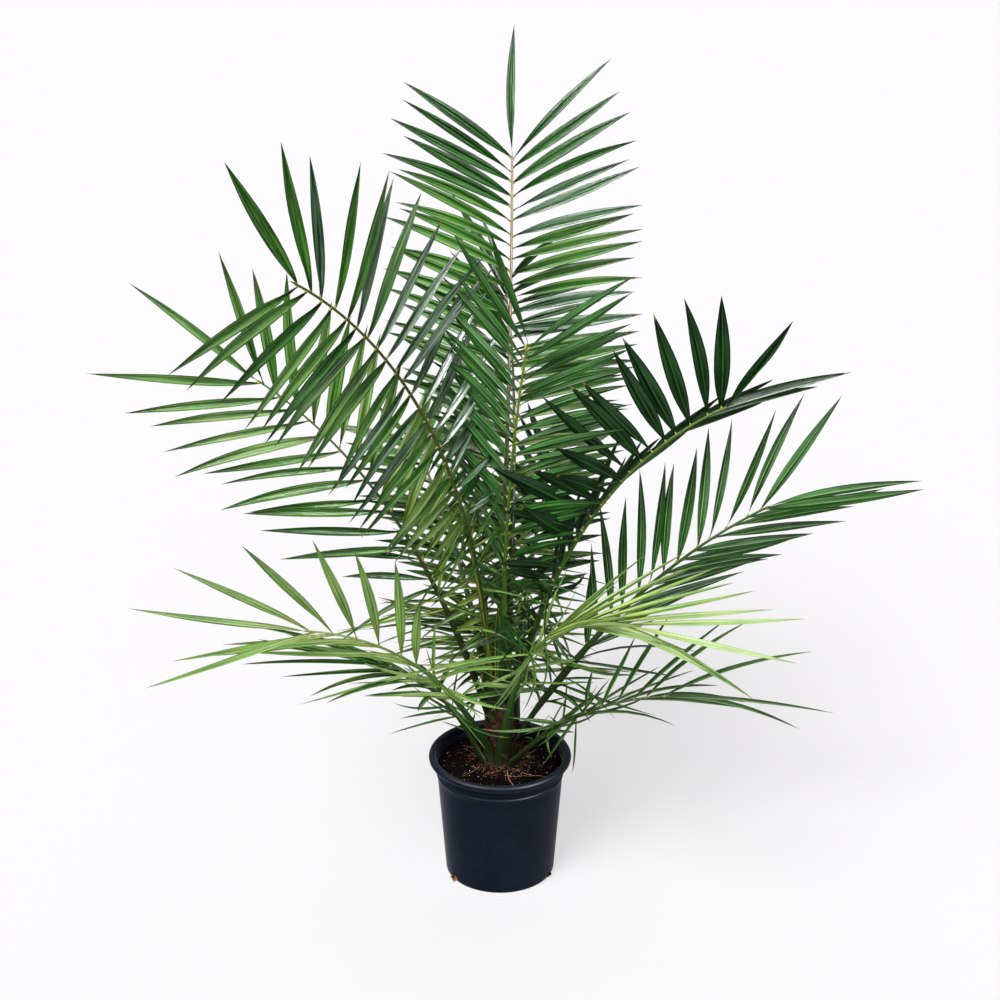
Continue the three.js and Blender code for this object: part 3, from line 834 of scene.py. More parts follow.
def blade_points(leaf, rows, root, look, folding):
    """Upper and under sheets of one leaflet, uneven by the numbers that look draws."""
    t, width, fold = rows[:, 0, None], rows[:, 1, None], np.radians(rows[:, 2, None] * folding)
    length = leaf["length"]
    droop = leaf["root"] + leaf["way"] * length - leaf["tip"]
    line = root * (1 - t) + leaf["root"] * t + leaf["way"] * length * t - droop * t**2
    belly = 4 * t * (1 - t)
    slack = 1 if leaf["kind"] == "leaflet" else SPINE_SLACK
    line = line + leaf["across"] * look.uniform(*SIDE_SWAY) * slack * length * belly
    line = line + leaf["off"] * look.uniform(*FACE_SWAY) * slack * length * belly
    turn = math.radians(look.uniform(*BLADE_TURN)) * t
    across = leaf["across"] * np.cos(turn) + leaf["off"] * np.sin(turn)
    off = leaf["off"] * np.cos(turn) - leaf["across"] * np.sin(turn)
    half = width * leaf["half_width"] * look.uniform(*WIDENING)
    c = STRIPS[None, :]
    from_middle = np.abs(c)
    sideways = c * half * np.cos(fold)
    lifted = from_middle * half * np.sin(fold) + BULGE * half * (1 - (2 * from_middle - 1) ** 2)
    at_midrib = 1 - np.minimum(from_middle / MIDRIB_HALF, 1)
    ridge = MIDRIB_RISE * at_midrib * np.minimum(1, width * 3)
    thick = BLADE_THICKNESS * (1 - from_middle) ** 0.7 * np.minimum(1, half / 3)
    upper = sheet(line, across, off, sideways, lifted + ridge)
    under = sheet(line, across, off, sideways, lifted - thick - MIDRIB_KEEL * ridge)
    return upper, under, flat_coords((c + 1) / 2, t)


print("the widest row, as a share of the usual half width", BLADE_ROWS[:, 1].max())

# %% [markdown]
# ## Dressing the fronds
#
# Each frond becomes two objects: its blades, and its rib with everything that grows on it. All of
# a frond's blades are one mesh, since hundreds of separate objects would only slow Blender down.
# Each of a frond's two rows has its own short list of greens, written from the stalk's end to the
# tip. A leaflet takes the green at its own place, give or take a little, so that one frond can be
# yellower low down and glossier above without any two leaflets being quite alike.

# %% Which greens each frond wears
# Greens of the leaflets on side 1, on side -1, the underside, the midrib and the stalk.
WEAR = {
    "frond_top": ("meadow middle deep middle deep", "fresh middle silver middle silver deep",
                  "deep", "midrib_deep", "tan"),
    "frond_front": ("meadow middle deep middle", "meadow middle deep",
                    "deep", "midrib_deep", "green"),
    "frond_upper_left": ("fresh middle silver middle deep middle", "deep silver silver middle",
                         "deep", "midrib_deep", "brown"),
    "frond_right": ("night night deep night", "night night", "night", "midrib_deep", "yellow"),
    "frond_left": ("deep middle middle meadow middle", "fresh fresh meadow middle",
                   "deep", "midrib", "olive"),
    "frond_back": ("fresh middle deep middle", "meadow middle deep",
                   "deep", "midrib_deep", "green"),
    "frond_back_left": ("meadow deep middle", "fresh deep middle",
                        "deep", "midrib_deep", "green"),
    "frond_back_right": ("meadow deep night", "meadow deep middle",
                         "deep", "midrib_deep", "green"),
    "frond_far_right": ("olive deep olive", "olive middle deep", "deep", "midrib", "dark"),
    "frond_low_right": ("pale lime pale", "lime pale fresh", "pale", "midrib_lime", "leafy"),
    "frond_low_left": ("middle fresh lime", "fresh lime pale", "pale", "midrib_lime", "leafy"),
    "frond_low_back": ("fresh middle", "fresh middle", "pale", "midrib", "green"),
    "frond_lowest_left": ("middle fresh deep", "middle fresh", "deep", "midrib", "dark"),
    "frond_lowest_right": ("middle meadow olive fresh", "meadow olive fresh",
                           "olive", "midrib", "dark"),
}
# The slack leaflets wear light greens: partly their own paler tone, partly painted light that makes up
# for the shade near the stump.
THIN_WEAR = "fresh lime meadow fresh lime"
LOW_THIN_WEAR = "meadow middle fresh middle"
STRAY_PLACE = 0.7
DRY_TIP_SHARE = 0.3
DRY_ROWS = 2


def is_low(frond):
    """Whether a frond is one of those low on the plant."""
    return "low" in frond["name"]


def slot_of(frond):
    """The name of a finish slot for a frond: low_frond for the low ones, frond for the rest."""
    return "low_frond" if is_low(frond) else "frond"


print("fronds with greens", len(WEAR), "low ones", sum(map(is_low, FRONDS)))

# %% Slack leaflets
THIN_PAIRS = 8
THIN_CROWDING = 0.8
# Where on the bare stalk they start, as a share of it, and where they end.
THIN_START = 0.34
LOW_THIN_START = 0.5
THIN_END = 1.02
THIN_ANGLES = (50, 104)
THIN_LIFTS = (-30, 50)
# The length at the start, how much longer it gets by the end, and each one's own share of that.
THIN_SHORTEST = 100
THIN_LENGTHENING = 140
THIN_LENGTHS = (0.6, 1.2)
THIN_WIDTHS = (0.3, 0.75)
THIN_LEVEL = 0.4
THIN_DROOP = 0.12


def thin_leaflets(frond, look):
    """Narrow, slack leaflets, nearly level, that crowd the stalk and cross each other."""
    coarse = rib_points(frond, RIB_STEPS)
    slack = {**frond, "droop": THIN_DROOP, "slim": 1}
    start = LOW_THIN_START if is_low(frond) else THIN_START
    made = []
    for i in range(THIN_PAIRS):
        for side in (1, -1):
            share = ((i + look.random()) / THIN_PAIRS) ** THIN_CROWDING
            longest = THIN_SHORTEST + THIN_LENGTHENING * share
            leaf = {
                "kind": "spine", "s": frond["bare"] * (start + (THIN_END - start) * share),
                "side": side, "angle": look.uniform(*THIN_ANGLES),
                "lift": look.uniform(*THIN_LIFTS), "length": look.uniform(*THIN_LENGTHS) * longest,
                "width": look.uniform(*THIN_WIDTHS),
            }
            stance = leaflet_stance(slack, coarse, leaf)
            way = unit(stance["way"] * [1, 1, THIN_LEVEL])
            off = square_to(way, stance["off"])
            tip = stance["root"] + (way - UP * THIN_DROOP) * stance["length"]
            across = np.cross(off, way)
            made.append({**stance, "way": way, "off": off, "across": across, "tip": tip})
    return made


print("slack leaflets on each stalk", 2 * THIN_PAIRS)

# %% Dress the blades
def green_for(frond, leaf, own_greens, thin_greens, look):
    """The name of the green that one leaflet wears."""
    if leaf["kind"] == "spine":
        return look.choice(thin_greens)
    own = own_greens[leaf["side"]]
    share = (leaf["s"] - frond["bare"]) / (1 - frond["bare"])
    place = share * len(own) + look.uniform(-STRAY_PLACE, STRAY_PLACE)
    return own[int(np.clip(place, 0, len(own) - 1))]


def dress_leaflets(frond, leaves, index):
    """All of a frond's blades as one object."""
    side_one, side_two, under, midrib, _ = WEAR[frond["name"]]
    own_greens = {1: side_one.split(), -1: side_two.split()}
    thin_greens = (LOW_THIN_WEAR if is_low(frond) else THIN_WEAR).split()
    greens = sorted({"leaf_" + g for g in (*own_greens[1], *own_greens[-1], *thin_greens)})
    finishes = greens + ["underside_" + under, midrib, "dry_tip"]
    look = np.random.default_rng(400 + index)
    fine_rib = fine_rib_points(frond)
    parts = Parts()
    for leaf in leaves + thin_leaflets(frond, look):
        rows = BLADE_ROWS if leaf["kind"] == "leaflet" else SPINE_ROWS
        root = point_on(fine_rib, leaf["s"])
        folding = look.uniform(*FOLDING)
        *sheets, coords = blade_points(leaf, rows, root, look, folding)
        faces, on_midrib = blade_faces(len(rows))
        green = "leaf_" + green_for(frond, leaf, own_greens, thin_greens, look)
        dry = look.random() < DRY_TIP_SHARE
        near_tip = (faces.min(1) // len(STRIPS)) >= len(rows) - 1 - DRY_ROWS
        both = zip(sheets, (faces, faces[:, ::-1]), (green, "underside_" + under))
        for points, corners, face in both:
            finish = np.where(on_midrib, finishes.index(midrib), finishes.index(face))
            finish = np.where(near_tip & dry, finishes.index("dry_tip"), finish)
            parts.add(points, corners, coords, finish)
    materials = [LEAF[name] for name in finishes]
    made = parts.piece(frond["name"] + "_leaflets", materials, frond["name"], slot_of(frond))
    print(made.name, "faces", len(made.data.polygons))
    return made


print("finishes to choose from", len(LEAF))

# %% [markdown]
# ## Ribs and stalks
#
# Below its blade a frond is a stout stalk, broad and channelled where it clasps the stump, and
# above that a slim rib with a ridge between the two rows. Its colour runs along it, from dark or
# brown at the foot to yellow-green or tan at the tip, and some stalks have yellow edges low down.
# A little yellow swelling sits under each leaflet. A tube with its own section at every row gives
# both forms in one sweep, and a colour ramp that follows the tube's length gives the colours.

# %% Stalk materials
STALK_COLOURS = {
    # places along the rib and the colour there
    "tan": ((0, "#06280e"), (0.2, "#28581e"), (0.42, "#6a6a2c"), (0.6, "#84693c"), (1, "#a07c4c")),
    "yellow": ((0, "#06240e"), (0.16, "#164414"), (0.4, "#3a6a1c"), (1, "#6a8834")),
    "olive": ((0, "#160e08"), (0.12, "#1c220c"), (0.3, "#223414"), (0.6, "#305020"), (1, "#4c7034")),
    "green": ((0, "#062a10"), (0.2, "#164e18"), (0.6, "#4a7a2c"), (1, "#78903e")),
    "brown": ((0, "#06280e"), (0.2, "#22541a"), (0.42, "#46661f"), (0.7, "#524c24"), (1, "#6c6a34")),
    "dark": ((0, "#04200c"), (0.3, "#0f3a14"), (0.7, "#24501c"), (1, "#4c6c2c")),
    "leafy": ((0, "#062c10"), (0.24, "#1c5a20"), (0.5, "#5a8e3c"), (1, "#86b05c")),
}
YELLOW_EDGED = ("tan", "green", "brown")
# Where along the rib the yellow edges fade in and out, how strong and how narrow they are.
EDGE_PLACES = (0.03, 0.1, 0.3, 0.42)
EDGE_SHOW = 0.85
EDGE_NARROWNESS = 9.0
SPOT_SHOW = 0.7
LINE_SHOW = 0.22


def yellow_edges(tree, along_share):
    """Where the yellow shows: on the stalk's two edges, near its foot."""
    round_share = split(tree, flat_place(tree))[0]
    turn = sums(tree, "COSINE", times(tree, round_share, 2 * math.pi))
    edge = sums(tree, "POWER", sums(tree, "ABSOLUTE", turn), EDGE_NARROWNESS)
    levels = (BLACK, grey(EDGE_SHOW), grey(EDGE_SHOW), BLACK)
    return times(tree, edge, ramp(tree, along_share, list(zip(EDGE_PLACES, levels))))


def stalk_finish(name, stops):
    """A stalk's finish: colours that run along it, spots, fine lines and, on some, yellow edges."""
    made, tree, shader = new_finish("stalk_" + name, 0.32)
    lines = use(tree, grain, {"Across": 26.0, "Along": 9.0, "Sharpness": 2.0})
    run = ramp(tree, lines["Along share"], [(place, paint(code)) for place, code in stops])
    spots = use(tree, mottle, {"First": grey(0.7), "Second": WHITE, "Scale": 45.0, "Contrast": 2.5})
    spotted = blend_colours(tree, SPOT_SHOW, run, spots["Colour"], "MULTIPLY")
    line_share = times(tree, lines["Streak"], LINE_SHOW)
    colour = blend_colours(tree, line_share, spotted, paint("#8f9c50"))
    if name in YELLOW_EDGED:
        edge_share = yellow_edges(tree, lines["Along share"])
        colour = blend_colours(tree, edge_share, colour, paint("#b8b040"))
    tree.links.new(colour, shader["Base Color"])
    relief(tree, shader, lines["Streak"], FIBRE_DEPTH, 0.7)
    return made


STALK = {name: stalk_finish(name, stops) for name, stops in STALK_COLOURS.items()}
NODE_YELLOW = plain_growth("leaflet_node", "#8f9438", "#c2bd5c", 0.5)
FIBRE_RED = plain_growth("fibre_red", "#5a2f1c", "#94583a", 0.8)
print("stalk finishes", len(STALK))

# %% A stalk's foot
FOOT_ROWS = 10
FOOT_LENGTH = 46
FOOT_LOWEST = 224
# How far the foot leans in, and how far its ends hold their direction, as shares of its drop.
FOOT_LEAN = 0.14
FOOT_UPRIGHT = 0.45
FOOT_ONWARD = 0.4


def clasping_foot(frond, start, along):
    """Middle line of the foot: it bends in under the stalk and runs down the stump into the mix."""
    outward = outward_way(frond["seat"])
    down = min(FOOT_LENGTH, start[2] - FOOT_LOWEST)
    low = start - UP * down - outward * FOOT_LEAN * down
    t = np.linspace(0, 1, FOOT_ROWS, endpoint=False)[:, None]
    corners = (low, low + UP * FOOT_UPRIGHT * down, start - along * FOOT_ONWARD * down, start)
    shares = ((1 - t) ** 3, 3 * t * (1 - t) ** 2, 3 * t**2 * (1 - t), t**3)
    return sum(share * corner for share, corner in zip(shares, corners))


print("rows of a foot", FOOT_ROWS)

# %% A stalk's sections
STALK_ROWS = 84
STALK_COLUMNS = 16
ROW_CROWDING = 1.15
FLATNESS = 0.72
# How far along the rib the clasp reaches, how much wider it makes the stalk, and how much wider
# and flatter again the foot gets towards its lower end.
CLASP_LENGTH = 0.09
CLASP_WIDTH = 0.6
FOOT_WIDENING = 0.5
FOOT_FLATTENING = 0.45
# The channel on the stalk's inner face, which becomes a ridge on the rib.
CHANNEL_WIDTH = 0.55
CHANNEL_DEPTH = 0.55
RIDGE_HEIGHT = 0.35
# The last share of the rib, over which it rounds off, and the square of the width left there.
CLOSING_SHARE = 0.004
CLOSED_TO = 0.02
# How much stouter than its solid's rib each dressed rib is, where it isn't the usual share, and
# how far along the rib that is reached.
STALK_SWELL = {
    "frond_right": 1.25, "frond_left": 0.9, "frond_low_left": 1.0, "frond_lowest_left": 1.0,
}
USUAL_SWELL = 1.15
SWELL_REACHED = 0.3


def stalk_surface(frond):
    """Rows of a stalk's surface. Its section turns from facing the stump to facing the blade."""
    s = np.linspace(0, 1, STALK_ROWS) ** ROW_CROWDING
    fine_rib = fine_rib_points(frond)
    foot = clasping_foot(frond, fine_rib[0], rib_frame(frond, 0.0)[0])
    centre = np.concatenate([foot, point_on(fine_rib, s)])
    below = np.concatenate([np.linspace(1, 0, FOOT_ROWS, endpoint=False), 0 * s])[:, None]
    s = np.concatenate([np.zeros(FOOT_ROWS), s])
    facing = smooth_step(s / frond["bare"])
    _, across, off = rib_frame(frond, s, facing)
    s, facing = s[:, None], facing[:, None]
    swell = STALK_SWELL.get(frond["name"], USUAL_SWELL)
    radius = rib_radius(frond, s) * (1 + (swell - 1) * np.clip(s / SWELL_REACHED, 0, 1))
    clasp = np.exp(-s / CLASP_LENGTH) * (1 + FOOT_WIDENING * below)
    angle = around(STALK_COLUMNS)[None, :]
    wide = radius * (1 + CLASP_WIDTH * clasp) * np.cos(angle)
    deep = radius * FLATNESS * np.sin(angle) * (1 - FOOT_FLATTENING * below)
    channel = np.exp(-((np.cos(angle) / CHANNEL_WIDTH) ** 2)) * (np.sin(angle) > 0)
    deep = deep - channel * radius * (CHANNEL_DEPTH * (1 - facing) - RIDGE_HEIGHT * facing)
    end = np.sqrt(np.clip((1 - s) / CLOSING_SHARE, CLOSED_TO, 1))
    return tube(sheet(centre, across, off, wide * end, deep * end), s)


print("rows and columns of a stalk", STALK_ROWS, STALK_COLUMNS)

# %% Swellings and strands
NODE_SIDES = 6
# A swelling's rows: places along it, and how thick it is there.
NODE_ROWS = np.array([(0.0, 0.75), (0.3, 1.0), (0.65, 0.7), (1.0, 0.25)])
STEEP = 0.9
STRAND_SIDES = 4
STRAND_FLATNESS = 0.6


def cone(foot, way, width, length):
    """A small swollen cone: rows from a narrow foot over a belly to a point."""
    way = unit(way)
    aside = unit(np.cross(way, UP if abs(way[2]) < STEEP else np.array([1.0, 0, 0])))
    other = np.cross(way, aside)
    angle = around(NODE_SIDES)
    round_about = np.cos(angle)[:, None] * aside + np.sin(angle)[:, None] * other
    points = np.array([foot + way * length * t + round_about * width * r for t, r in NODE_ROWS])
    coords = flat_coords(np.linspace(0, 1, NODE_SIDES), NODE_ROWS[:, :1])
    return points, grid_faces(len(NODE_ROWS), NODE_SIDES, closed=True), coords


def ribbon(line, width, taper=1.0):
    """A thin flat strand along a line of points, for fibres."""
    line = np.asarray(line, float)
    way = np.gradient(line, axis=0)
    way /= np.linalg.norm(way, axis=1)[:, None]
    aside = np.cross(way, UP)
    aside /= np.linalg.norm(aside, axis=1)[:, None] + 1e-9
    other = np.cross(way, aside)
    t = np.linspace(0, 1, len(line))[:, None]
    half = width / 2 * (1 - taper * t**3)
    wide, thin = aside * half, other * half * STRAND_FLATNESS
    points = np.stack([line + wide, line + thin, line - wide, line - thin], 1)
    coords = flat_coords(np.linspace(0, 1, STRAND_SIDES), t)
    return points, grid_faces(len(line), STRAND_SIDES, closed=True), coords


print("corners of a strand's section", STRAND_SIDES)

# %% Dress the ribs
NODE_WIDTH = 2.6
NODE_LENGTH = 8
NODE_SIZES = (0.8, 1.2)
# Where a swelling starts, as a share of the rib's radius, and the last place for one on the rib.
NODE_START = 0.55
LAST_NODE = 0.999
HANGING_FIBRES = 3
FIBRE_POINTS = 8
FIBRE_WIDTH = 0.7
FIBRE_PLACES = (0.3, 1.0)
FIBRE_LENGTHS = (30, 90)
FIBRE_SAGS = (0.1, 0.5)


def add_swellings(parts, frond, leaves, look):
    """A little swelling where each leaflet leaves the rib."""
    fine_rib = fine_rib_points(frond)
    for leaf in leaves:
        if leaf["kind"] != "leaflet" or leaf["s"] > LAST_NODE:
            continue
        foot = point_on(fine_rib, leaf["s"])
        out = float(rib_radius(frond, leaf["s"])) * NODE_START
        size = look.uniform(*NODE_SIZES) * (0.75 + 0.25 * out / 2)
        way = leaf["way"]
        parts.add(*cone(foot + way * out, way, NODE_WIDTH * size, NODE_LENGTH * size), 1)


def add_hanging_fibres(parts, frond, look):
    """A few loose threads that hang from the stalk."""
    fine_rib = fine_rib_points(frond)
    t = np.linspace(0, 1, FIBRE_POINTS)[:, None]
    for _ in range(HANGING_FIBRES):
        s = frond["bare"] * look.uniform(*FIBRE_PLACES)
        way = unit(look.normal(0, 1, 3) * [1, 1, 0.5])
        length = look.uniform(*FIBRE_LENGTHS)
        sag = UP * look.uniform(*FIBRE_SAGS) * length * t**2
        parts.add(*ribbon(point_on(fine_rib, s) + way * length * t - sag, FIBRE_WIDTH), 2)


def dress_stalk(frond, leaves, index):
    """A frond's stalk and rib, with its swellings and threads, as one object."""
    look = np.random.default_rng(700 + index)
    parts = Parts()
    parts.add(*stalk_surface(frond), 0)
    add_swellings(parts, frond, leaves, look)
    add_hanging_fibres(parts, frond, look)
    finishes = [STALK[WEAR[frond["name"]][4]], NODE_YELLOW, FIBRE_RED]
    return parts.piece(frond["name"] + "_stalk", finishes, frond["name"], slot_of(frond))


for number, frond in enumerate(FRONDS):
    blades = dress_leaflets(frond, GROWN[number], number)
    rib = dress_stalk(frond, GROWN[number], number)
    low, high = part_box(frond["name"])
    both = [Vector(c) for piece in (blades, rib) for c in piece.bound_box]
    past = [
        max(low[k] - min(c[k] for c in both), max(c[k] for c in both) - high[k]) for k in range(3)
    ]
    print(frond["name"], "past its solid's box, mm:", [round(p / MM, 1) for p in past])

# %% [markdown]
# ## Unopened leaves and inner sheaths
#
# New fronds come up in the very middle as spears: the whole leaf is still folded into a ribbed,
# yellow-green rod. Round them stand the young leaves' sheaths, flat and upright, dark with yellow
# edges. A rod whose section is pleated gives the spear, and long thin shields give the sheaths.

# %% Spear and sheath finishes
SPEAR_GREEN = plain_growth("spear_green", "#5d7f2c", "#a9b552", 0.4, across=30.0, along=5.0)
SHEATH_GREEN = plain_growth("sheath_green", "#1f3f1e", "#3f6a2e", 0.4, across=24.0, along=5.0)
SHEATH_EDGE = plain_growth("sheath_edge", "#8f9a36", "#c9c055", 0.5, across=8.0, along=8.0)
print("spear and sheath finishes", SPEAR_GREEN.name, SHEATH_GREEN.name, SHEATH_EDGE.name)

# %% Shields
SHIELD_ROWS = 14
SHIELD_COLUMNS = 9
# How much a shield narrows over its whole length, and over its last part to a point.
SHIELD_NARROWING = 0.25
SHIELD_POINTING = 0.72
POINTING_START = 0.55
SHIELD_SWAY = (-0.04, 0.04)


def shield(foot, way, outward, width, length, look, hollow=0.35, lean=0.0):
    """A long thin clasping shield: pointed at the top, curved round the stump across its width."""
    way = unit(way)
    aside = unit(np.cross(way, outward))
    outward = np.cross(aside, way)
    t = np.linspace(0, 1, SHIELD_ROWS)[:, None]
    c = np.linspace(-1, 1, SHIELD_COLUMNS)[None, :]
    pointing = SHIELD_POINTING * smooth_step((t - POINTING_START) / (1 - POINTING_START))
    half = width / 2 * (1 - SHIELD_NARROWING * t - pointing)
    bow = lean * length * t**2 - hollow * half * c**2 * (1 - 0.5 * t)
    sway = look.uniform(*SHIELD_SWAY) * length * t**2
    points = foot + way * (length * t)[..., None] + aside * (half * c + sway)[..., None]
    points = points + outward * bow[..., None]
    faces = grid_faces(SHIELD_ROWS, SHIELD_COLUMNS)
    column = (faces % SHIELD_COLUMNS).min(1)
    at_edge = (column == 0) | (column == SHIELD_COLUMNS - 2)
    return points, faces, flat_coords((c + 1) / 2, t), at_edge


print("points of a shield", SHIELD_ROWS * SHIELD_COLUMNS)

# %% Spears
SPEARS = {
    # seat, out, height, heading, rise, length, radius
    "spear_tall": (185, 6, 372, 176, 83, 360, 5.5),
    "spear_short": (350, 6, 372, 12, 81, 260, 5.0),
}
SPEAR_ARCH = 4
SPEAR_STEPS = 40
SPEAR_ROWS = 56
SPEAR_COLUMNS = 36
SPEAR_FLATNESS = 0.72
PLEATS = 7
PLEAT_DEPTH = 0.13
PLEAT_TURN = 3
SHEATH_OUT = 15
SHEATH_FOOT = 345
SHEATH_STRAY = (-8, 8)
SHEATH_LEANS = (-0.02, 0.05)
SHEATH_WIDTHS = (15, 19)


def spear_rod(seat, out, height, heading, rise, length, radius):
    """The folded leaf itself: a slim pleated rod that narrows to its tip."""
    rod = {"seat": seat, "out": out, "height": height, "heading": heading, "sweep": 0,
           "rise": rise, "arch": SPEAR_ARCH, "length": length, "roll": 0, "twist": 0}
    s = np.linspace(0, 1, SPEAR_ROWS)
    _, across, off = rib_frame(rod, s)
    angle = around(SPEAR_COLUMNS)[None, :]
    pleats = 1 + PLEAT_DEPTH * np.cos(PLEATS * angle + PLEAT_TURN * s[:, None])
    thick = (radius * (1.02 - s) ** 0.5)[:, None] * pleats
    wide, deep = thick * np.cos(angle), thick * SPEAR_FLATNESS * np.sin(angle)
    centre = point_on(rib_points(rod, SPEAR_STEPS), s)
    return tube(sheet(centre, across, off, wide, deep), s)


def make_spear(name, sheaths, look):
    """A spear and the sheaths round it, each given as its azimuth and its length."""
    parts = Parts()
    parts.add(*spear_rod(*SPEARS[name]), 0)
    for azimuth, reach in sheaths:
        outward = outward_way(azimuth)
        foot = outward * SHEATH_OUT + UP * (SHEATH_FOOT + look.uniform(*SHEATH_STRAY))
        way = UP + outward * look.uniform(*SHEATH_LEANS)
        width = look.uniform(*SHEATH_WIDTHS)
        *patch, at_edge = shield(foot, way, outward, width, reach, look)
        parts.add(*patch, np.where(at_edge, 2, 1))
    return parts.piece(name + "_leaf", [SPEAR_GREEN, SHEATH_GREEN, SHEATH_EDGE], name, "spear")


sheath_look = np.random.default_rng(31)
make_spear("spear_tall", ((250, 215), (300, 170), (205, 190), (120, 150)), sheath_look)
make_spear("spear_short", ((275, 120), (335, 200), (10, 160), (70, 140)), sheath_look)
print("spears", len(SPEARS))

# %% [markdown]
# ## The pot
#
# A nursery pot is blown or pressed from thin dark plastic: a slightly tapering wall, a ridge and
# a collar that stiffen it, a rolled lip to lift it by, and notches at its foot that let water out.
# All of that but the notches is one profile turned about the axis, and a turned profile shows a
# satin plastic's long soft reflections best when its lip is a true round. The notches are cut
# with a Boolean, which is simpler than building them into the rows.

# %% Scuffs
def make_wear():
    """Faint scuffs: fine scratches drawn along a slanting direction, and rubbed patches."""
    tree, given, gives = effect(
        "plastic_wear", [("Scratches", "number", 0.5), ("Scale", "number", 40.0)],
        [("Mask", "number"), ("Height", "number")],
    )
    place = object_place(tree)
    slanting = {"Vector": place, "Rotation": (0.3, 0.1, 0.9), "Scale": (1.0, 14.0, 1.6)}
    drawn = put(tree, "ShaderNodeMapping", slanting).outputs[0]
    fine = sums(tree, "SUBTRACT", cloudy(tree, drawn, given["Scale"], 5.0), 0.6)
    scratches = times(tree, fine, 6.0, clamp=True)
    rubbed = cloudy(tree, place, 7.0, 3.0)
    tree.links.new(times(tree, scratches, rubbed, given["Scratches"]), gives["Mask"])
    tree.links.new(cloudy(tree, place, 900.0, 2.0), gives["Height"])
    return tree


plastic_wear = make_wear()
print("scuffs' inputs", [socket.name for socket in plastic_wear.interface.items_tree])

# %% Pot plastic
PLASTIC_ROUGHNESS = 0.42
SCUFF_ROUGHENING = 0.3
PATCH_ROUGHENING = 0.08
PLASTIC_DEPTH = 0.00012


def make_pot_plastic():
    """Satin dark plastic with scuffs, a little dust, and roughness that varies with both."""
    made, tree, shader = new_finish("pot_plastic", PLASTIC_ROUGHNESS)
    shader["Specular IOR Level"].default_value = 0.2
    shader["Sheen Weight"].default_value = 0.3
    shader["Sheen Roughness"].default_value = 0.35
    shader["Sheen Tint"].default_value = (0.8, 0.9, 1.0, 1)
    wear = use(tree, plastic_wear, {"Scratches": 0.5, "Scale": 40.0})
    patches = use(tree, mottle, {
        "First": paint("#081120"), "Second": paint("#0e1d35"), "Scale": 14.0, "Contrast": 1.6,
    })
    scuffed = blend_colours(tree, wear["Mask"], patches["Colour"], paint("#333d50"))
    dusty = use(tree, dusting, {
        "Surface": scuffed, "Dust": paint("#4b4a48"), "Amount": 0.25, "Scale": 90.0,
    })
    tree.links.new(dusty["Colour"], shader["Base Color"])
    scuffs_add = times(tree, wear["Mask"], SCUFF_ROUGHENING)
    rough = sums(tree, "ADD", scuffs_add, PLASTIC_ROUGHNESS)
    rough = sums(tree, "ADD", rough, times(tree, patches["Mask"], PATCH_ROUGHENING))
    tree.links.new(rough, shader["Roughness"])
    relief(tree, shader, wear["Height"], PLASTIC_DEPTH, 0.35)
    return made


POT_PLASTIC = make_pot_plastic()
print("pot plastic", POT_PLASTIC.name)

# %% Pot profile
POT_BASE = 103
POT_TAPER = 0.075
POT_WALL = 3
POT_FLOOR = 4
RIDGE = 207
LIP_MIDDLE = (127.2, 238.8)
LIP_ROUND = (6.8, 7.2)
# Where round the lip's section its arc starts and ends, in degrees, and its points.
LIP_ARC = (-112, 168, 22)
UNDER_LIP = 231
POT_COLUMNS = 192


def pot_outer(height):
    """The radius of the tapering wall's outer face at a height."""
    return POT_BASE + POT_TAPER * height


def pot_profile():
    """Radii and heights of the pot's section, from under its foot over the lip to its floor."""
    collar = pot_outer(RIDGE)
    inner = pot_outer(UNDER_LIP)
    foot = [(0.1, 0), (60, 0), (96, 0), (100, 0.2), (102, 1.2), (pot_outer(3), 3.2)]
    wall = [(pot_outer(z), z) for z in np.linspace(10, RIDGE - 4, 16)]
    ridge = [(0.3, 204.4), (1.3, 205.6), (1.6, 206.8), (1.6, 208.2), (1.2, 209.6), (0.2, 210.8)]
    ridge = [(collar + past, z) for past, z in ridge + [(0.1, 212.5)]]
    collar_wall = [(collar + 0.3 + 0.7 * t, 214 + 16 * t) for t in np.linspace(0, 1, 4)]
    lip = [(collar + 2.0, 231.4)]
    for a in np.radians(np.linspace(*LIP_ARC)):
        out, up = LIP_ROUND[0] * math.cos(a), LIP_ROUND[1] * math.sin(a)
        lip.append((LIP_MIDDLE[0] + out, LIP_MIDDLE[1] + up))
    inside = [(inner + 0.3, 236), (inner, UNDER_LIP)]
    inside += [(pot_outer(z) - POT_WALL, z) for z in (RIDGE, 100, POT_FLOOR)]
    inside += [(60, POT_FLOOR), (0.1, POT_FLOOR)]
    return np.array(foot + wall + ridge + collar_wall + lip + inside, float)


def turned(rows, columns):
    """A profile of radii and heights turned about the plant's axis."""
    angle = around(columns)
    radius, height = rows[:, 0, None], rows[:, 1, None]
    spread = np.broadcast_arrays(radius * np.cos(angle), radius * np.sin(angle), height)
    return tube(np.stack(spread, -1), np.linspace(0, 1, len(rows)), flipped=True)


print("rows of the profile", len(pot_profile()))

# %% Make the pot
DRAINS = (94, 214, 334)
# Corners of a notch's arch, sideways and up, and the radii that its bar lies between.
NOTCH_ARCH = [(-6.5, -5), (6.5, -5), (6.5, 5), (4.6, 8), (0, 9.2), (-4.6, 8), (-6.5, 5)]
NOTCH_REACH = (93, 115)


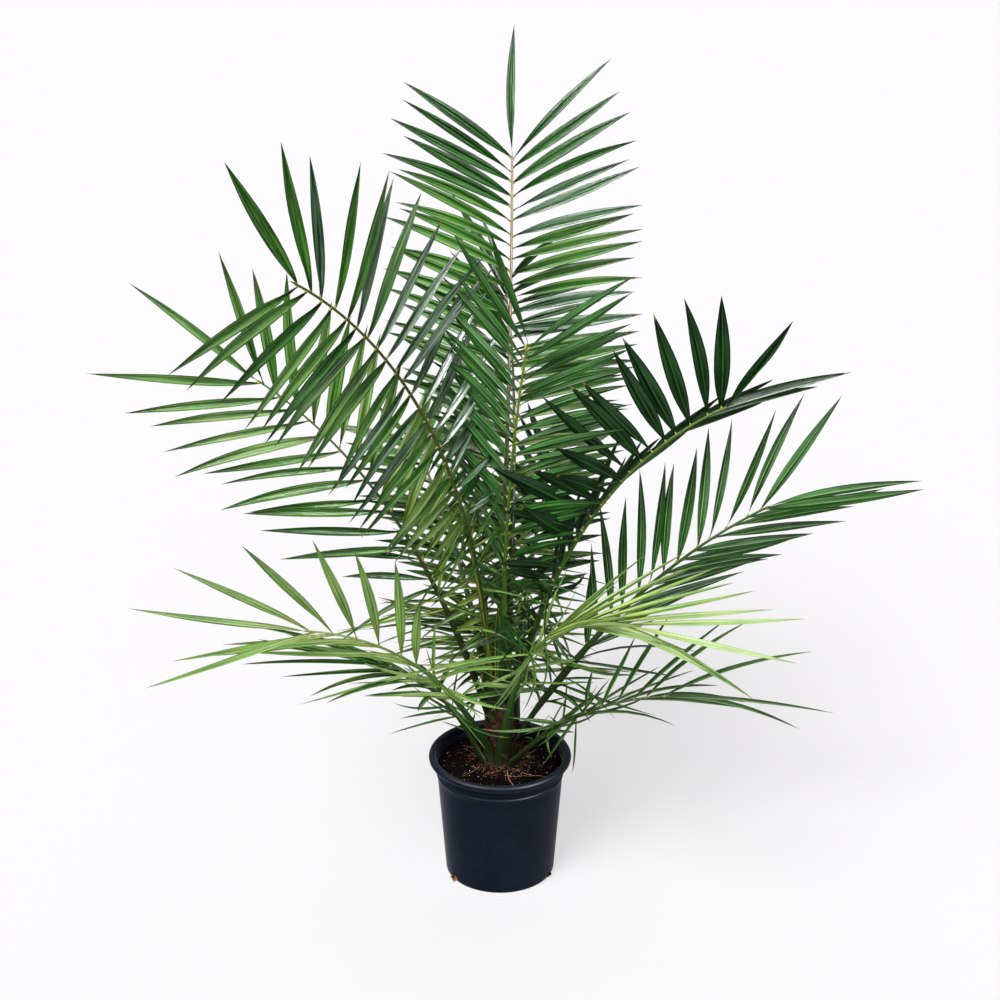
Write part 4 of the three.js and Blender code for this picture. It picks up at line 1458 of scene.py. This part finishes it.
def notch_cutter():
    """One mesh of three arched bars that stick through the foot of the wall."""
    points, faces = [], []
    n = len(NOTCH_ARCH)
    for azimuth in DRAINS:
        out = outward_way(azimuth)
        aside = np.cross(UP, out)
        start = len(points)
        for reach in NOTCH_REACH:
            points += [out * reach + aside * y + UP * z for y, z in NOTCH_ARCH]
        near = [start + i for i in range(n)]
        far = [i + n for i in near]
        faces += [near[::-1], far]
        faces += list(zip(near, near[1:] + near[:1], far[1:] + far[:1], far))
    mesh = bpy.data.meshes.new("drain_cutter")
    mesh.from_pydata((np.array(points) * MM).tolist(), [], faces)
    cutter = bpy.data.objects.new("drain_cutter", mesh)
    bpy.context.collection.objects.link(cutter)
    return cutter


def make_pot():
    """The turned pot with its drain notches cut and the cut kept as its mesh."""
    parts = Parts()
    parts.add(*turned(pot_profile(), POT_COLUMNS), 0)
    made = parts.piece("nursery_pot", [POT_PLASTIC], "pot", "pot")
    cutter = notch_cutter()
    cut = made.modifiers.new("drains", "BOOLEAN")
    cut.operation = "DIFFERENCE"
    cut.object = cutter
    bpy.context.view_layer.update()
    seen = made.evaluated_get(bpy.context.evaluated_depsgraph_get())
    mesh = bpy.data.meshes.new_from_object(seen)
    made.modifiers.clear()
    made.data = mesh
    bpy.data.objects.remove(cutter)
    return made


pot = make_pot()
print("pot faces", len(pot.data.polygons), "height", round(pot.dimensions.z, 4))

# %% [markdown]
# ## Potting mix
#
# The mix is peat and bark: nearly black crumbs, reddish fibres, and white grains of perlite, with
# a few of the palm's own orange-brown roots lying on top. Near the stump it is browner and redder,
# with bark and torn fibre. A relief alone looks like painted mud from this near, so the surface is
# a lumpy sheet with loose crumbs, grains and strands lying on it, each a small mesh with its own
# shape, all joined into one object.

# %% Crumbly earth
def make_crumb():
    """Crumbly earth: cells of several sizes, as a colour between two and a height."""
    tree, given, gives = effect(
        "crumb",
        [("Dark", "colour", (0.02, 0.01, 0.01, 1)), ("Light", "colour", (0.1, 0.06, 0.04, 1)),
         ("Scale", "number", 300.0)],
        [("Colour", "colour"), ("Height", "number")],
    )
    place = object_place(tree)
    cells = put(tree, "ShaderNodeTexVoronoi", {"Vector": place, "Scale": given["Scale"]})
    cloud = cloudy(tree, place, given["Scale"], 5.0)
    share = times(tree, sums(tree, "SUBTRACT", cloud, 0.3), 2.2, clamp=True)
    tree.links.new(blend_colours(tree, share, given["Dark"], given["Light"]), gives["Colour"])
    height = sums(tree, "ADD", times(tree, cells.outputs[0], 0.5), cloud)
    tree.links.new(height, gives["Height"])
    return tree


crumb = make_crumb()
print("crumbly earth's inputs", [socket.name for socket in crumb.interface.items_tree])

# %% Mix finishes
CRUMB_DEPTH = 0.0015


def earth_finish(name, dark, light, scale):
    """A dull crumbly finish between two colours."""
    made, tree, shader = new_finish(name, 0.95)
    shader["Specular IOR Level"].default_value = 0.06
    grains = use(tree, crumb, {"Dark": paint(dark), "Light": paint(light), "Scale": scale})
    tree.links.new(grains["Colour"], shader["Base Color"])
    relief(tree, shader, grains["Height"], CRUMB_DEPTH, 0.9)
    return made


SOIL_FINISHES = [
    earth_finish("mix_dark", "#070303", "#1c0f0b", 420.0),
    earth_finish("mix_brown", "#180b08", "#3c2018", 500.0),
    plain_growth("bark_red", "#42200f", "#804226", 0.85),
    earth_finish("perlite", "#b9b4a8", "#f0ede4", 700.0),
    plain_growth("root_orange", "#8a5a2c", "#c79255", 0.7, across=6.0, along=14.0),
    plain_growth("coir", "#6a3a18", "#c07a3a", 0.85, across=6.0, along=10.0),
]
DARK, BROWN, RED, PERLITE, ROOT, COIR = range(len(SOIL_FINISHES))
print("mix finishes", len(SOIL_FINISHES))

# %% The mix's surface
SOIL_EDGE = 220
SOIL_MOUND = 230
SOIL_RADIUS = 117.4
MIX_COLUMNS = 240
# Radii and heights of the low mound, and the radius at which its lumps have died away.
MOUND_RADII = (46, 80.75, 115.2)
MOUND_HEIGHTS = (SOIL_MOUND, SOIL_EDGE + 2, SOIL_EDGE)
SMOOTH_RADIUS = 119
# Height, size and seed of each layer of lumps.
LUMPS = ((2.4, 13, 1.0), (1.3, 5, 7.0), (0.8, 2, 3.0))


def soil_height(x, y):
    """Height of the mix at a place, in mm: a low mound with lumps."""
    radius = math.hypot(x, y)
    base = float(np.interp(radius, MOUND_RADII, MOUND_HEIGHTS))
    lumps = sum(height * noise.noise(Vector((x / size, y / size, seed)))
                for height, size, seed in LUMPS)
    return base + lumps * min(1, (SMOOTH_RADIUS - radius) / 4)


def mix_surface():
    """Rings of points from the mix's middle to the pot's wall, with their faces and coords."""
    inner = np.linspace(0.5, MOUND_RADII[0] - 2, 16)
    radii = np.concatenate([inner, np.linspace(MOUND_RADII[0], SOIL_RADIUS, 60)])
    rings = [[(r * math.cos(a), r * math.sin(a)) for a in around(MIX_COLUMNS)] for r in radii]
    points = np.array([[(x, y, soil_height(x, y)) for x, y in ring] for ring in rings])
    return points, grid_faces(len(radii), MIX_COLUMNS, closed=True), points[..., :2] / 100


print("height of the mix at the wall, mm", round(soil_height(SOIL_RADIUS, 0), 1))

# %% Crumbs and strands
GOLD = (1 + 5**0.5) / 2
ROCK_POINTS = np.array([
    (-1, GOLD, 0), (1, GOLD, 0), (-1, -GOLD, 0), (1, -GOLD, 0), (0, -1, GOLD), (0, 1, GOLD),
    (0, -1, -GOLD), (0, 1, -GOLD), (GOLD, 0, -1), (GOLD, 0, 1), (-GOLD, 0, -1), (-GOLD, 0, 1),
]) / math.sqrt(1 + GOLD**2)
ROCK_FACES = np.array([
    (0, 11, 5), (0, 5, 1), (0, 1, 7), (0, 7, 10), (0, 10, 11), (1, 5, 9), (5, 11, 4), (11, 10, 2),
    (10, 7, 6), (7, 1, 8), (3, 9, 4), (3, 4, 2), (3, 2, 6), (3, 6, 8), (3, 8, 9), (4, 9, 5),
    (2, 4, 11), (6, 2, 10), (8, 6, 7), (9, 8, 1),
])
USUAL_FLATNESS = 0.8
STRAND_REACH = 110


def rock(place, size, look, flat=USUAL_FLATNESS):
    """An uneven crumb: a twenty-sided solid with each corner moved in or out."""
    uneven = look.uniform(0.6, 1.25, (len(ROCK_POINTS), 1))
    points = ROCK_POINTS * uneven * size * np.array([1, look.uniform(0.6, 1), flat])
    turn = look.uniform(0, 2 * np.pi)
    c, s = math.cos(turn), math.sin(turn)
    points = points @ np.array([[c, -s, 0], [s, c, 0], [0, 0, 1]]).T
    return points + place, ROCK_FACES, ROCK_POINTS[:, :2] * 0.5 + 0.5


def strand(points, width, look):
    """A thread along rough points, smoothed by averaging."""
    line = np.asarray(points, float)
    for _ in range(2):
        finer = np.repeat(line, 2, axis=0)[:-1]
        finer[1::2] = (line[:-1] + line[1:]) / 2
        line = finer
        line[1:-1] = (line[:-2] + 2 * line[1:-1] + line[2:]) / 4
    return ribbon(line, width, taper=look.uniform(0.3, 0.8))


def lying_strand(x, y, heading, length, width, look, bends=5, lift=1.5, wander=0.5):
    """A strand that lies on the mix and wanders as it goes."""
    points = []
    for _ in range(bends + 1):
        points.append((x, y, soil_height(x, y) + lift * look.uniform(0.2, 1.2)))
        heading += look.uniform(-wander, wander)
        x += math.cos(heading) * length / bends
        y += math.sin(heading) * length / bends
        reach = math.hypot(x, y)
        if reach > STRAND_REACH:
            x, y = x * STRAND_REACH / reach, y * STRAND_REACH / reach
    return strand(points, width, look)


def place_on_mix(look, inner=30, outer=113):
    """An even random place on the ring between two radii, and its own radius."""
    radius = math.sqrt(look.uniform(inner**2, outer**2))
    angle = look.uniform(0, 2 * np.pi)
    return radius * math.cos(angle), radius * math.sin(angle), radius


print("faces of a crumb", len(ROCK_FACES))

# %% What lies on the mix
CRUMBS = 1500
BARK_CHIPS = 420
PERLITE_GRAINS = 110
# Count, outer radius and finishes of the loose strands: all over, then near the stump.
STRANDS = ((200, 104, (BROWN, DARK, BROWN, COIR)), (160, 62, (RED, RED, BROWN, COIR)))
# Nearly a full turn, in radians.
STRAND_HEADINGS = (0, 6.28)
ROOTS_ON_TOP = (
    # start x, y, heading in radians, length, width, wander
    (14, -46, -1.25, 78, 2.6, 0.35), (30, -40, -0.45, 60, 2.2, 0.3), (-26, -52, -0.3, 46, 1.8, 0.4),
    (8, -60, 0.05, 52, 1.7, 0.3), (-40, -30, -2.2, 40, 1.6, 0.5), (44, 20, 0.6, 45, 1.8, 0.4),
    (-30, 48, 2.2, 48, 1.8, 0.5), (20, 52, 1.2, 40, 1.6, 0.5),
)
ROOT_BENDS = 7
ROOT_LIFT = 3.0


def add_crumb(parts, x, y, rise, size, finish, look, flat=USUAL_FLATNESS):
    """One crumb on the mix; rise is how far its middle stands above it, as a share of its size."""
    place = (x, y, soil_height(x, y) + rise * size)
    parts.add(*rock(place, size, look, flat), finish)


def add_loose_crumbs(parts, look):
    """Crumbs all over, chips of bark near the stump, and grains of perlite."""
    for _ in range(CRUMBS):
        x, y, radius = place_on_mix(look)
        size = look.uniform(0.7, 1.6) if look.random() < 0.75 else look.uniform(1.6, 3.4)
        size *= min(1, (SMOOTH_RADIUS - radius) / 6)
        finish = int(look.choice([DARK, DARK, DARK, DARK, BROWN, BROWN]))
        add_crumb(parts, x, y, 0.3, size, finish, look)
    for _ in range(BARK_CHIPS):
        x, y, _ = place_on_mix(look, inner=26, outer=66)
        size = look.uniform(0.8, 2.6)
        finish = int(look.choice([BROWN, RED, RED, COIR]))
        add_crumb(parts, x, y, 0.4, size, finish, look, 0.5)
    for _ in range(PERLITE_GRAINS):
        x, y, _ = place_on_mix(look, outer=108)
        add_crumb(parts, x, y, 0.6, look.uniform(0.6, 1.5), PERLITE, look, 0.9)


def add_loose_strands(parts, look):
    """Short fibres that lie all over the mix, and the palm's own roots on top of it."""
    for count, outer, finishes in STRANDS:
        for _ in range(count):
            x, y, _ = place_on_mix(look, outer=outer)
            length = look.uniform(6, 24)
            finish = int(look.choice(finishes))
            heading, width = look.uniform(*STRAND_HEADINGS), look.uniform(0.4, 1.0)
            parts.add(*lying_strand(x, y, heading, length, width, look), finish)
    for *course, wander in ROOTS_ON_TOP:
        parts.add(*lying_strand(*course, look, ROOT_BENDS, ROOT_LIFT, wander), ROOT)


print("roots on top", len(ROOTS_ON_TOP))

# %% Lay the mix
# Mix that has worked out through the drain notches: azimuth, size, finish and reach of each heap.
HEAPS = ((214, 2.1, COIR, 108), (334, 1.4, DARK, 106), (94, 1.0, COIR, 104))
HEAP_CRUMBS = 46
HEAP_STRANDS = 26
HEAP_OWN_SHARE = 0.75


def add_heap(parts, azimuth, size, finish, reach, look):
    """Crumbs and fibres that fill one drain notch and spill a little way out of it."""
    out = outward_way(azimuth)
    aside = np.cross(UP, out)
    for _ in range(HEAP_CRUMBS):
        place = out * (reach - look.uniform(0, 9)) + UP * look.uniform(2.2, 5 + 2.6 * size)
        place = place + aside * look.uniform(-4.5, 4.5)
        crumb_size = min(look.uniform(0.9, 2.1) * size, 0.7 * place[2])
        patch = rock(place, crumb_size, look)
        parts.add(*patch, finish if look.random() < HEAP_OWN_SHARE else BROWN)
    for _ in range(HEAP_STRANDS):
        foot = out * (reach - 3) + UP * look.uniform(2, 7) + aside * look.uniform(-5, 5)
        middle = foot + out * look.uniform(1, 3.5) + look.uniform(-2, 2, 3) * [1, 1, 0.4]
        end = middle + look.uniform(-3, 3, 3) * [1, 1, 0.5]
        above_floor = [(x, y, max(z, 1.0)) for x, y, z in (foot, middle, end)]
        parts.add(*strand(above_floor, 0.5, look), COIR)


def make_mix():
    """The mix's surface and all that lies on it or in the notches, as one object."""
    look = np.random.default_rng(9)
    parts = Parts()
    parts.add(*mix_surface(), DARK)
    add_loose_crumbs(parts, look)
    add_loose_strands(parts, look)
    for heap in HEAPS:
        add_heap(parts, *heap, look)
    return parts.piece("potting_mix", SOIL_FINISHES, "soil", "soil")


mix = make_mix()
print("mix faces", len(mix.data.polygons))

# %% [markdown]
# ## The stump
#
# The trunk of so young a palm is a short stump wrapped in what earlier leaves left: a net of
# reddish-brown fibres and the stubs of old leaf bases, set round it in a spiral. The core is the
# turned shape of the solid with fibrous relief. The stubs are small curved shields placed by the
# golden angle, as the plant itself places its leaves, and loose strands are wound over them.

# %% Stump finishes
STUMP_FINISHES = [
    plain_growth("stump_fibre", "#1c0c07", "#5a2a18", 0.9, across=70.0, along=5.0),
    plain_growth("leaf_base_brown", "#33200f", "#75502c", 0.85, across=14.0, along=3.0),
    plain_growth("leaf_base_green", "#2c4420", "#5c7434", 0.5, across=18.0, along=3.0),
    FIBRE_RED,
    plain_growth("fibre_straw", "#7d5a33", "#b8905a", 0.8),
]
CORE, OLD_BASE, GREEN_BASE, RED_FIBRE, STRAW = range(len(STUMP_FINISHES))
print("stump finishes", len(STUMP_FINISHES))

# %% The stump's core
# Radii and heights of the solid's own section.
TRUNK_PROFILE = np.array([
    (34, 230.5), (31, 239), (28.5, 258), (26, 292), (25, 326), (22, 349), (16, 365), (8, 373),
    (0.2, 374),
])
CORE_COLUMNS = 200
CORE_INSET = 1.2
RIDGES_SHOW = 1.4
THREADS_SHOW = 0.8


def trunk_radius(height):
    """The solid stump's radius at a height."""
    return float(np.interp(height, TRUNK_PROFILE[:, 1], TRUNK_PROFILE[:, 0]))


def core_point(height, a):
    """A point of the core: the solid's own radius with ridges and finer threads."""
    c, s = math.cos(a), math.sin(a)
    ridges = noise.noise(Vector((c * 9, s * 9, height / 30)))
    threads = noise.noise(Vector((c * 38, s * 38, height / 18 + a)))
    r = trunk_radius(height) - CORE_INSET + RIDGES_SHOW * ridges + THREADS_SHOW * threads
    return max(r, 0.1) * c, max(r, 0.1) * s, height


def stump_core():
    """Rings of points from the stump's foot to its crown, with their faces and coords."""
    heights = np.concatenate([np.linspace(230.5, 349, 70), np.linspace(351, 374, 16)])
    points = np.array([[core_point(z, a) for a in around(CORE_COLUMNS)] for z in heights])
    return tube(points, np.linspace(0, 1, len(heights)), flipped=True)


print("stump's radius at its foot, mm", trunk_radius(TRUNK_PROFILE[0, 1]))

# %% Make the stump
GOLDEN_ANGLE = math.radians(137.508)
STUBS = 26
LOWEST_STUB = 232
STUB_STEP = 4.1
STUB_SINK = 2.5
# The lower stubs are all brown; above them only this share is.
BROWN_STUBS = 16
BROWN_SHARE = 0.4
WOUND_STRANDS = 420
WOUND_POINTS = 6
WOUND_LOWEST = 231
WOUND_HIGHEST = 352


def add_stub(parts, i, look):
    """The stub of an old leaf base, one golden angle on from the last."""
    z = LOWEST_STUB + STUB_STEP * i
    a = i * GOLDEN_ANGLE
    outward = np.array([math.cos(a), math.sin(a), 0.0])
    foot = outward * (trunk_radius(z) - STUB_SINK) + UP * z
    way = UP + outward * look.uniform(0.05, 0.3)
    width, length = look.uniform(20, 30) * (1 - 0.012 * i), look.uniform(22, 44)
    *patch, _ = shield(foot, way, outward, width, length, look, hollow=0.3, lean=0.12)
    brown = i < BROWN_STUBS or look.random() < BROWN_SHARE
    parts.add(*patch, OLD_BASE if brown else GREEN_BASE)


def add_wound_strand(parts, look):
    """A loose fibre that winds some way round the stump."""
    z = look.uniform(WOUND_LOWEST, 345)
    a = look.uniform(0, 2 * np.pi)
    step = look.uniform(10, 42) / (WOUND_POINTS - 1)
    slope = look.uniform(-1.1, 1.4)
    points = []
    for _ in range(WOUND_POINTS):
        r = trunk_radius(z) + look.uniform(0.5, 4.5)
        points.append((r * math.cos(a), r * math.sin(a), z))
        # One number is drawn and passed over, and the strands' later places depend on it.
        look.choice([-1, 1])
        a += step / r * math.cos(slope)
        z = min(max(z + step * math.sin(slope), WOUND_LOWEST), WOUND_HIGHEST)
    patch = strand(points, look.uniform(0.35, 0.9), look)
    parts.add(*patch, int(look.choice([RED_FIBRE, RED_FIBRE, RED_FIBRE, STRAW, OLD_BASE])))


def make_stump():
    """The core, the stubs of old leaf bases and the net of fibre, as one object."""
    look = np.random.default_rng(21)
    parts = Parts()
    parts.add(*stump_core(), CORE)
    for i in range(STUBS):
        add_stub(parts, i, look)
    for _ in range(WOUND_STRANDS):
        add_wound_strand(parts, look)
    return parts.piece("fibrous_stump", STUMP_FINISHES, "trunk", "trunk")


stump = make_stump()
print("stump faces", len(stump.data.polygons))

# %% [markdown]
# ## Studio
#
# The plant stands on a seamless white floor under soft light from the front left. The floor is
# large and plain and glows a little, so that it stays white all over, and gloss doesn't mirror
# it. A weak world keeps the shadows soft. What the camera sees past the floor's edge is a paler
# backdrop, which lights nothing. Three more lamps act on gloss alone and give the leaves their
# sheen.

# %% Floor
FLOOR_HALF = 40.0
FLOOR_GLOW = 0.475

corners = [(x * FLOOR_HALF, y * FLOOR_HALF, 0) for x, y in ((-1, -1), (1, -1), (1, 1), (-1, 1))]
floor_mesh = bpy.data.meshes.new("studio_floor")
floor_mesh.from_pydata(corners, [], [(0, 1, 2, 3)])
floor = bpy.data.objects.new("studio_floor", floor_mesh)
bpy.context.collection.objects.link(floor)
floor_finish, _, floor_shader = new_finish("studio_floor", 0.8)
floor_shader["Base Color"].default_value = (0.39, 0.385, 0.39, 1)
floor_shader["Emission Color"].default_value = (1.0, 0.985, 1.0, 1)
floor_shader["Emission Strength"].default_value = FLOOR_GLOW
floor_shader["Specular IOR Level"].default_value = 0.0
floor_mesh.materials.append(floor_finish)
floor.visible_glossy = False
print("floor, m", 2 * FLOOR_HALF)

# %% World
AIR_STRENGTH = 0.13

world = bpy.data.worlds.new("studio_world")
world.use_nodes = True
air = world.node_tree.nodes
air["Background"].inputs["Color"].default_value = (0.97, 0.97, 1.0, 1)
air["Background"].inputs["Strength"].default_value = AIR_STRENGTH
backdrop = put(world.node_tree, "ShaderNodeBackground", {"Color": (0.98, 0.975, 0.98, 1)})
seen_or_lit = air.new("ShaderNodeMixShader")
rays = air.new("ShaderNodeLightPath")
for source, target in [(rays.outputs["Is Camera Ray"], seen_or_lit.inputs[0]),
                       (air["Background"].outputs[0], seen_or_lit.inputs[1]),
                       (backdrop.outputs[0], seen_or_lit.inputs[2]),
                       (seen_or_lit.outputs[0], air["World Output"].inputs["Surface"])]:
    world.node_tree.links.new(source, target)
bpy.context.scene.world = world
print("world", world.name)

# %% Lamps
# Azimuth, elevation, breadth and strength of each.
SOFT_LAMPS = {
    "key_light": (236, 50, 30, 1.9),
    "front_light": (266, 36, 50, 0.95),
    "top_light": (80, 66, 70, 0.45),
}
SHEEN_LAMPS = {
    "sheen_right": (320, 31, 32, 10.0),
    "sheen_behind": (135, 66, 30, 4.0),
    "sheen_left": (214, 44, 24, 4.0),
}


def broad_light(name, azimuth, elevation, breadth, strength):
    """A wide soft light from one side, the same all over the floor."""
    light = bpy.data.lights.new(name, "SUN")
    light.angle = math.radians(breadth)
    light.energy = strength
    made = bpy.data.objects.new(name, light)
    a, e = math.radians(azimuth), math.radians(elevation)
    way = Vector((math.cos(a) * math.cos(e), math.sin(a) * math.cos(e), math.sin(e)))
    made.rotation_euler = way.to_track_quat("Z", "Y").to_euler()
    bpy.context.collection.objects.link(made)
    return made


for name, placed in SOFT_LAMPS.items():
    broad_light(name, *placed)
for name, placed in SHEEN_LAMPS.items():
    broad_light(name, *placed).visible_diffuse = False
print("lamps", len(SOFT_LAMPS) + len(SHEEN_LAMPS))
